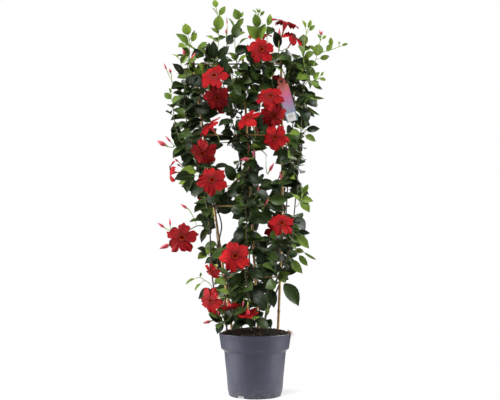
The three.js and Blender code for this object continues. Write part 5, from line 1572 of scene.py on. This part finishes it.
# blooms: five slanting petals round a funnel
petalShape = {
    "reach": 45, "mouth": 6.8,  # millimetres, on a bloom 90 across
    "halfWidths": (5.2, 8.9, 12.0, 14.5, 16.3, 17.6, 18.0, 16.4, 11.2),
    "rows": 8, "columns": 10,
    "slant": (0.0, 0.16),  # how far back the two sides of a petal lie, of the reach
    "lean": 3.6, "thickness": 0.7, "hollow": 5.0,
    "waves": (2.6, 5.6),  # half waves along the ruffled edge, coarse and fine
    # the outline draws out to one soft corner
    "point": {"at": 0.38, "wide": 0.36, "least": 0.87, "rise": 0.16},
    # phase, ruffle and curl
    "forms": ((0.0, 1.8, 0.05), (2.1, 2.7, 0.15), (4.0, 2.2, 0.24), (5.2, 3.0, 0.02)),
    "count": 5, "turn": 72, "start": 38.5,  # petals on a bloom, and their places round it in degrees
    "seed": 12,
}
funnelShape = {
    "outside": ((0, -46.4), (2.2, -46), (3.2, -44), (2.5, -40), (2.5, -34), (3.0, -28), (4.3, -22),
                (6.3, -16), (8.1, -10), (8.9, -5), (9.2, -1.2)),
    "inside": ((8.4, 0.6), (7.2, -0.9), (6.3, -4.5), (4.0, -9.5), (0, -13.5)),
    "insideMarks": (0.10, 0.05, 0.0, 0.0, 0.0),  # where the inside lies on the petals' map
    "sides": 15, "ribs": 5, "ribRise": 0.05, "ribsFrom": 30,
}


def petalMesh(number, form):
    p = petalShape
    phase, ruffle, curl = form

    def upper(i, j):
        s, t = i / p["rows"], 2 * j / p["columns"] - 1
        corner = p["point"]
        rise = corner["rise"] * math.exp(-(((t - corner["at"]) / corner["wide"]) ** 2))
        far = p["reach"] * (corner["least"] + rise)
        near, distant = p["slant"]
        back = p["reach"] * (near + (distant - near) * (t + 1) / 2) * s**1.2
        coarse, fine = p["waves"]
        wave = math.sin(coarse * math.pi * t + phase) + 0.5 * math.sin(fine * math.pi * t - phase) * s
        hollow = p["hollow"] * t * t * s * (1 - s)
        side = t * p["halfWidths"][i] + p["lean"] * s * s
        lift = 0.6 * (1 - s) - back - p["reach"] * curl * s**3 + ruffle * wave * s * s + hollow
        return p["mouth"] + (far - p["mouth"]) * s, side, lift

    def under(i, j):
        x, y, z = upper(i, j)
        return x, y, z - p["thickness"]

    return sheetMesh(f"bloomForm{number}", p["rows"], p["columns"], upper, under, False)


def funnelMesh(number):
    p = funnelShape
    outside, inside = p["outside"], p["inside"]
    spots = [-1 + 0.94 * (z + 46.4) / 45.2 for _, z in outside] + list(p["insideMarks"])

    def ripple(r, z, angle):  # five soft ribs that widen towards the mouth
        rise = p["ribRise"] * max(0, (z + p["ribsFrom"]) / p["ribsFrom"])
        return r * (1 + rise * math.cos(p["ribs"] * angle)), z

    return latheMesh(f"bloomForm{number}", outside + inside, p["sides"], 0, spots, ripple)


petalMeshes = [petalMesh(i, form) for i, form in enumerate(petalShape["forms"])]
bloomForms = formsFrom("bloomForms", petalMeshes + [funnelMesh(len(petalMeshes))])
bloomChance = random.Random(petalShape["seed"])
for bloom in blooms:
    facing = bloom["facing"]
    side = turned(sideOf(facing, up, aside), facing, math.radians(bloom["turn"]))
    size = bloom["diameter"] / bloomRule["across"] * mm
    shade = bloomChance.random() * 0.5
    spots = []
    for k in range(petalShape["count"] + 1):  # the petals, and last the funnel
        petal = k < petalShape["count"]
        axis = turned(side, facing, math.radians(petalShape["turn"] * k + petalShape["start"]))
        spots.append({
            "place": bloom["centre"], "axes": (axis, np.cross(facing, axis), facing),
            "size": (size, size, size * (0.85 + bloomChance.random() * 0.4 if petal else 1)),
            "form": bloomChance.randrange(len(petalMeshes)) if petal else len(petalMeshes),
            "tone": shade + bloomChance.random() * 0.5, "youth": 0.0,
        })
    mesh = grownForms("petals", spots, bloomForms, "petal")
    makePiece(bloom["name"].replace("bloom_", "openBloom_"), [mesh], [bloom["name"]])
print("blooms made:", len(blooms))


# the pot: a moulded shell with a deep collar, notches in its foot and drain holes
potShape = {
    "profile": (
        (0, 9), (70.5, 9), (72.4, 7.6), (73.2, 1.4), (74.2, 0.2), (76.6, 0), (78.2, 0.8), (79.4, 4.0),
        (82.2, 15.6), (82.9, 18), (87.6, 72), (93.2, 128), (93.6, 131.2), (94.6, 132.4), (102.0, 138.6),
        (103.0, 139.8), (103.3, 141.6), (106.6, 163), (109.2, 180.4), (109.9, 182.2), (109.7, 183.5),
        (108.8, 184), (107.6, 183.9), (107.0, 183.0), (106.2, 179), (100.4, 142.6), (99.6, 140.8),
        (91.4, 132.8), (90.7, 131.4), (79.8, 15), (78.6, 12.6), (76.6, 12), (0, 12),
    ),
    "sides": 120,
    "notches": (-124, -4, 116), "notchWidth": 28, "notchHeight": 8.5, "notchReach": (66, 90),
    "drainHoles": 6, "drainRing": 48, "drainRadius": 5.5, "drainSides": 20, "drainReach": (4, 18),
    "sharpEdge": 40,  # degrees
}


def plugMesh(name, ring, low, high):  # a straight-sided plug between two heights
    n = len(ring)
    points = [(x, y, low) for x, y in ring] + [(x, y, high) for x, y in ring]
    faces = [tuple(reversed(range(n))), tuple(range(n, 2 * n))]
    faces += [(i, (i + 1) % n, n + (i + 1) % n, n + i) for i in range(n)]
    return meshFrom(name, points, faces)


def potCutters():
    p = potShape
    made = []
    for degrees in p["notches"]:
        half, high = p["notchWidth"] / 2, p["notchHeight"]
        profile = [(-half - 2, -1), (half + 2, -1), (half, 1.4), (half - 2.2, high - 1.6), (half - 3.8, high),
                   (-half + 3.8, high), (-half + 2.2, high - 1.6), (-half, 1.4)]
        mesh = plugMesh("notch", profile, *p["notchReach"])
        outwards = Matrix(((0, 0, 1, 0), (1, 0, 0, 0), (0, 1, 0, 0), (0, 0, 0, 1)))
        mesh.transform(Matrix.Rotation(math.radians(degrees), 4, "Z") @ outwards)
        made.append(mesh)
    for k in range(p["drainHoles"]):
        turn = 2 * math.pi * (k + 0.5) / p["drainHoles"]
        x, y = p["drainRing"] * math.cos(turn), p["drainRing"] * math.sin(turn)
        ring = [(x + dx, y + dy) for dx, dy in circle(p["drainRadius"], p["drainSides"])]
        made.append(plugMesh("drain", ring, *p["drainReach"]))
    return made


def makePot():
    p = potShape
    profile = list(reversed(p["profile"]))  # from the inside floor over the rim and down to the foot
    shell = latheMesh("pot", profile, p["sides"])
    shell.flip_normals()
    holder = linked("potShell", shell)
    cutters = formsFrom("potCutters", potCutters())
    cut = holder.modifiers.new("cut", "BOOLEAN")
    cut.operand_type, cut.collection, cut.solver = "COLLECTION", cutters, "EXACT"
    made = plainMesh(holder)
    dropForms(cutters)
    made.transform(Matrix.Scale(mm, 4))
    made.set_sharp_from_angle(angle=math.radians(p["sharpEdge"]))
    makePiece("nurseryPot", [dressed(made, "pot")], ["pot"])


makePot()
print("pot made")

# the soil: a rough crown of potting mix, bark chips, and roots that hang over the rim
soilShape = {
    "profile": ((0, 199), (22, 198.4), (44, 196.6), (66, 194), (84, 191.2), (95, 188), (102, 184.2),
                (105.6, 180.6)),
    "below": ((105.0, 178), (98.4, 141), (89.6, 131), (80, 30), (77.6, 12.6), (0, 12.5)),
    "sides": 96, "topSides": 48, "lumps": 2.6,
    "chips": 46800.0, "smallest": 0.0022, "largest": 0.0062, "seed": 5,  # bark chips on a square metre
    "flakeSeed": 70, "flakeSides": 6, "flakes": 3,
    "roots": 26, "rootSeed": 8, "rootSteps": 5, "rootSides": 5, "rootGirth": 0.42, "rootTaper": 0.02,
}


def soilHeight(x, y):
    radius = math.hypot(x, y)
    rows = soilShape["profile"]
    height = rows[-1][1]
    for (r0, z0), (r1, z1) in zip(rows, rows[1:]):
        if radius <= r1:
            height = z0 + (z1 - z0) * (radius - r0) / (r1 - r0)
            break
    lump = noise.noise(Vector((x, y, 3.0)) * 0.075) + 0.5 * noise.noise(Vector((x, y, 9.0)) * 0.21)
    return height + soilShape["lumps"] * lump * min(1, max(0, (107 - radius) / 12))


def chipMesh(number):  # a thin, broken flake one unit long
    chance = random.Random(soilShape["flakeSeed"] + number)
    ring = [(x * chance.uniform(0.34, 0.5), y * chance.uniform(0.18, 0.34))
            for x, y in circle(1, soilShape["flakeSides"])]
    made = plugMesh(f"chipForm{number}", ring, 0, 0)
    places = [(x, y, -0.07 + 0.05 * chance.random()) for x, y in ring]
    places += [(x * 0.82, y * 0.8, 0.10 + 0.08 * chance.random()) for x, y in ring]
    for v, spot in zip(made.vertices, places):
        v.co = spot
    made.polygons.foreach_set("use_smooth", [False] * len(made.polygons))
    return made


def makeSoil():
    p = soilShape
    crown = []
    for (r0, _), (r1, _) in zip(p["profile"], p["profile"][1:]):
        steps = 3 if r1 - r0 > 12 else 2
        crown += [r0 + (r1 - r0) * k / steps for k in range(steps)]
    rings = crown[1:] + [p["profile"][-1][0]]
    lower = list(reversed(p["below"]))
    profile = lower + [(r, -1) for r in reversed(rings)] + [(0, soilHeight(0, 0))]

    def lumpy(r, z, angle):  # a ring at -1 lies on the rough crown
        return (r, soilHeight(r * math.cos(angle), r * math.sin(angle))) if z < 0 else (r, z)

    body = latheMesh("soil", profile, p["sides"], 0, None, lumpy)
    body.transform(Matrix.Scale(mm, 4))
    inner = [(r, -1) for r in rings[:-1]]
    top = latheMesh("soilTop", [(0, 0), *inner, (0, 0)], p["topSides"], 0, None, lumpy)
    faces = [tuple(f.vertices) for f in top.polygons if len(f.vertices) == 4]
    top = meshFrom("soilTop", [tuple(v.co * mm) for v in top.vertices], faces)
    chips = formsFrom("chipForms", [chipMesh(i) for i in range(p["flakes"])])
    bits = grown(top, "scatter", {
        "Forms": chips, "Last Form": p["flakes"] - 1, "Finish": finishes["bark"],
        "Count per m2": p["chips"], "Smallest": p["smallest"], "Largest": p["largest"], "Seed": p["seed"],
    })
    dropForms(chips)
    threads = tubes("roots", rootLines(), p["rootSides"], "bark", "tone")
    makePiece("pottingSoil", [dressed(body, "soil"), bits, threads], ["soil"])


def rootLines():  # a tuft of fine roots that hangs over the rim on the right
    p = soilShape
    chance = random.Random(p["rootSeed"])
    roots = []
    for k in range(p["roots"]):
        angle = chance.uniform(-0.30, 0.22)
        start = point(chance.uniform(96, 104), 0, 0)
        start[1], start[2] = 60 * math.sin(angle) - 14, 0
        start[0] = math.sqrt(max(1, start[0] ** 2 - start[1] ** 2))
        start[2] = soilHeight(start[0], start[1]) + 0.5
        way = unit(point(start[0], start[1], 0))
        reach, drop = chance.uniform(7, 15), chance.uniform(2, 15)
        bend = point(0, chance.uniform(-6, 6), chance.uniform(2, 7))
        ends = [start, start + way * reach * 0.55 + bend, start + way * reach + bend * 0.6 - up * drop]
        line = smoothLine(ends, p["rootSteps"])
        girths = [p["rootGirth"] - p["rootTaper"] * s for s in range(len(line))]
        roots.append((line, girths, chance.uniform(0.8, 1.0)))
    return roots


makeSoil()
print("soil made")

# the trellis: three canes, four crossbars and the ties at their crossings
caneShape = {
    "footRadius": 4.1, "topRadius": 3.6, "from": 40, "step": 40, "sides": 14,
    "knuckle": 0.9, "firstKnuckle": 250, "knuckleGap": 200, "taperOver": 1020,
    # how far from a knuckle's middle, and how much of its rise
    "swell": ((-7, 0), (-4, 0.22), (-1.8, 0.75), (-0.6, 1), (0.5, 0.55), (1.2, 0.9), (3, 0.3), (6, 0)),
}
barShape = {
    "sides": 12, "knuckleGap": 96,
    "swell": ((-5, 0), (-1.6, 0.5), (0, 1), (1.4, 0.4), (5, 0)),
}
tieShape = {
    "girth": 0.65, "sides": 6, "tail": 7, "tailSteps": 4,
    "wide": 6.2, "deep": (8.6, 9.2),  # half the width of a turn, and the depth of the first and the second
    "from": -100, "step": 26.5, "points": 15,  # a turn's first point and the gaps between them, in degrees
}


def caneLine(name, cane):
    p = caneShape
    stops = {float(p["from"]): 0.0, float(cane["top"]): 0.0}
    z = p["from"] + p["step"]
    while z < cane["top"] - 10:
        stops[float(z)] = 0.0
        z += p["step"]
    z = p["firstKnuckle"]
    while z < cane["top"] - 40:
        for shift, share in p["swell"]:
            stops[z + shift] = share
        z += p["knuckleGap"]
    heights = sorted(stops)
    taper = p["footRadius"] - p["topRadius"]
    thin = [p["footRadius"] - taper * (z - p["from"]) / p["taperOver"] for z in heights]
    girth = [radius + p["knuckle"] * stops[z] for radius, z in zip(thin, heights)]
    return [pointAtHeight(name, z) for z in heights], girth, [stops[z] for z in heights]


def barLine(bar):
    chance = random.Random(bar["z"])
    stops = {bar["from"]: 0.0, bar["to"]: 0.0}
    x = bar["from"] + chance.uniform(20, 50)
    while x < bar["to"] - 8:
        for shift, share in barShape["swell"]:
            stops[x + shift] = share
        x += barShape["knuckleGap"]
    places = sorted(stops)
    line = [point(x, barRule["y"], bar["z"]) for x in places]
    girth = [barRule["radius"] * (0.96 + 0.10 * stops[x]) for x in places]
    return line, girth, [stops[x] for x in places]


def tieLines(cross):  # two crossed turns round a crossing, and the two ends of the knot
    p = tieShape
    lines = []
    for slope, deep in zip((1, -1), p["deep"]):
        way = unit(point(1, 0, slope))
        angles = [math.radians(p["from"] + p["step"] * k) for k in range(p["points"])]
        lines.append([cross + way * p["wide"] * math.cos(a) + front * deep * math.sin(a) for a in angles])
    knot = cross + point(0.5, -9.3, -1.0)
    for side in (-1, 1):
        tip = knot + point(side * p["tail"], -1.4, -3.5)
        lines.append(smoothLine([knot, knot + point(side * 3.0, -2.2, 1.5), tip], p["tailSteps"]))
    return [(line, [p["girth"]] * len(line), 0.0) for line in lines]


for name, cane in canes.items():
    mesh = tubes("cane", [caneLine(name, cane)], caneShape["sides"], "bamboo", "knuckle")
    makePiece("bambooCane_" + name, [mesh], ["cane_" + name])
for i, bar in enumerate(crossbars):
    mesh = tubes("bar", [barLine(bar)], barShape["sides"], "bamboo", "knuckle")
    makePiece(f"bambooCrossbar_{i + 1}", [mesh], [f"crossbar_{i + 1}"])
crossings = [pointAtHeight(name, bar["z"]) + point(0, -2.4, 0) for bar in crossbars for name in canes]
mesh = tubes("ties", [line for cross in crossings for line in tieLines(cross)], tieShape["sides"], "tie")
makePiece("trellisTies", [mesh], [])
print("trellis made")


# the care label: a thin pierced strip with a plain sticker, on a loop of soft tie
def labelOutline():  # a strip with rounded corners, and a round head over its shoulders
    p = label
    half, head, length, shoulder = p["width"] / 2, p["head"], p["length"], p["shoulder"]
    neck = math.asin((shoulder - 1) / head)
    steps = p["roundSteps"]
    turns = [-neck + (math.pi + 2 * neck) * k / steps for k in range(steps + 1)]
    foot = [(half - 0.6, -length + 0.7), (half, -length + 2.4)]
    side = [*foot, (half, -shoulder - 1.2), (half - 0.8, -shoulder)]
    ring = [(-half + 2.2, -length), (half - 2.2, -length), *side]
    ring += [(head * math.cos(a), head * math.sin(a)) for a in turns]
    return ring + [(-x, y) for x, y in reversed(side)]


def flatCurve(name, rings, thickness):  # a flat shape with holes, as a plain mesh in metres
    data = bpy.data.curves.new(name, "CURVE")
    data.dimensions = "2D"
    data.fill_mode = "BOTH"
    data.extrude = thickness / 2 * 0.8 * mm
    data.bevel_depth = thickness * 0.1 * mm
    for ring in rings:
        spline = data.splines.new("POLY")
        spline.points.add(len(ring) - 1)
        for spot, (x, y) in zip(spline.points, ring):
            spot.co = (x * mm, y * mm, 0, 1)
        spline.use_cyclic_u = True
    made = plainMesh(linked(name, data))
    bpy.data.curves.remove(data)
    return made


def hungFlat(mesh, low, high, left, right, lift=0.0):  # maps the flat shape, bows it a little and hangs it
    while mesh.uv_layers:
        mesh.uv_layers.remove(mesh.uv_layers[0])
    layer = mesh.uv_layers.new(name="UVMap")
    for loop in mesh.loops:
        x, y, _ = mesh.vertices[loop.vertex_index].co / mm
        layer.data[loop.index].uv = ((y - low) / (high - low), (x - left) / (right - left))
    for v in mesh.vertices:
        down = min(1, max(0, -v.co.y / mm / label["length"]))
        v.co.z += (lift + label["bow"] * math.sin(math.pi * down)) * mm
    hang = Vector(label["hang"]) * mm
    stand = Matrix(((1, 0, 0, 0), (0, 0, -1, 0), (0, 1, 0, 0), (0, 0, 0, 1)))
    lean = Matrix.Rotation(-math.radians(label["lean"]), 4, "Y")
    mesh.transform(Matrix.Translation(hang) @ lean @ stand)
    return mesh


def makeLabel():
    p = label
    hole = [(x, -y) for x, y in circle(p["hole"], p["roundSteps"])]
    strip = flatCurve("labelStrip", [labelOutline(), hole], p["thickness"])
    half = p["width"] / 2
    strip = hungFlat(strip, -p["length"], p["head"], -half, half)
    low, high, left, right = p["sticker"]
    corners = [(left, low), (right, low), (right, high), (left, high)]
    patch = flatCurve("sticker", [corners], p["paper"])
    patch = hungFlat(patch, low, high, left, right, p["thickness"] / 2 + 0.10)
    makePiece("careLabel", [dressed(strip, "label"), dressed(patch, "sticker")], ["tag"])


def makeLoop():  # through the label's hole and round the back of the right-hand cane
    p = label
    x, y, z = p["hang"]
    top = z + p["hole"] - p["tie"] - 0.4
    cane = pointAtHeight("right", z + 6)
    reach = caneRule["radius"] + p["tie"] + 0.6
    left, middle, right = cane[0] - reach, cane[0], cane[0] + reach
    line = smoothLine(path([
        (x, y - 4, top - 0.5), (x, y + 4, top + 0.4), (left, -reach, top + 3), (left, reach * 0.6, top + 4),
        (middle, reach + 1, top + 5), (right, reach * 0.6, top + 6), (right + 1, -reach - 2, top + 7),
    ]), p["tieSteps"])
    mesh = tubes("labelTie", [(line, [p["tie"]] * len(line), 0.0)], p["tieSides"], "tie")
    makePiece("labelLoop", [mesh], ["tag_tie"])


makeLabel()
makeLoop()
print("label made")

# the floor
floorShape = {"radius": 0.55, "points": 96}
floor = bpy.data.meshes.new("floor")
floorRing = [(x, y, 0) for x, y in circle(floorShape["radius"], floorShape["points"])]
floor.from_pydata(floorRing, [], [tuple(range(len(floorRing)))])
linked("paleFloor", dressed(floor, "floor"))

for forms in (leafForms, budForms, bloomForms):
    dropForms(forms)
print("done")
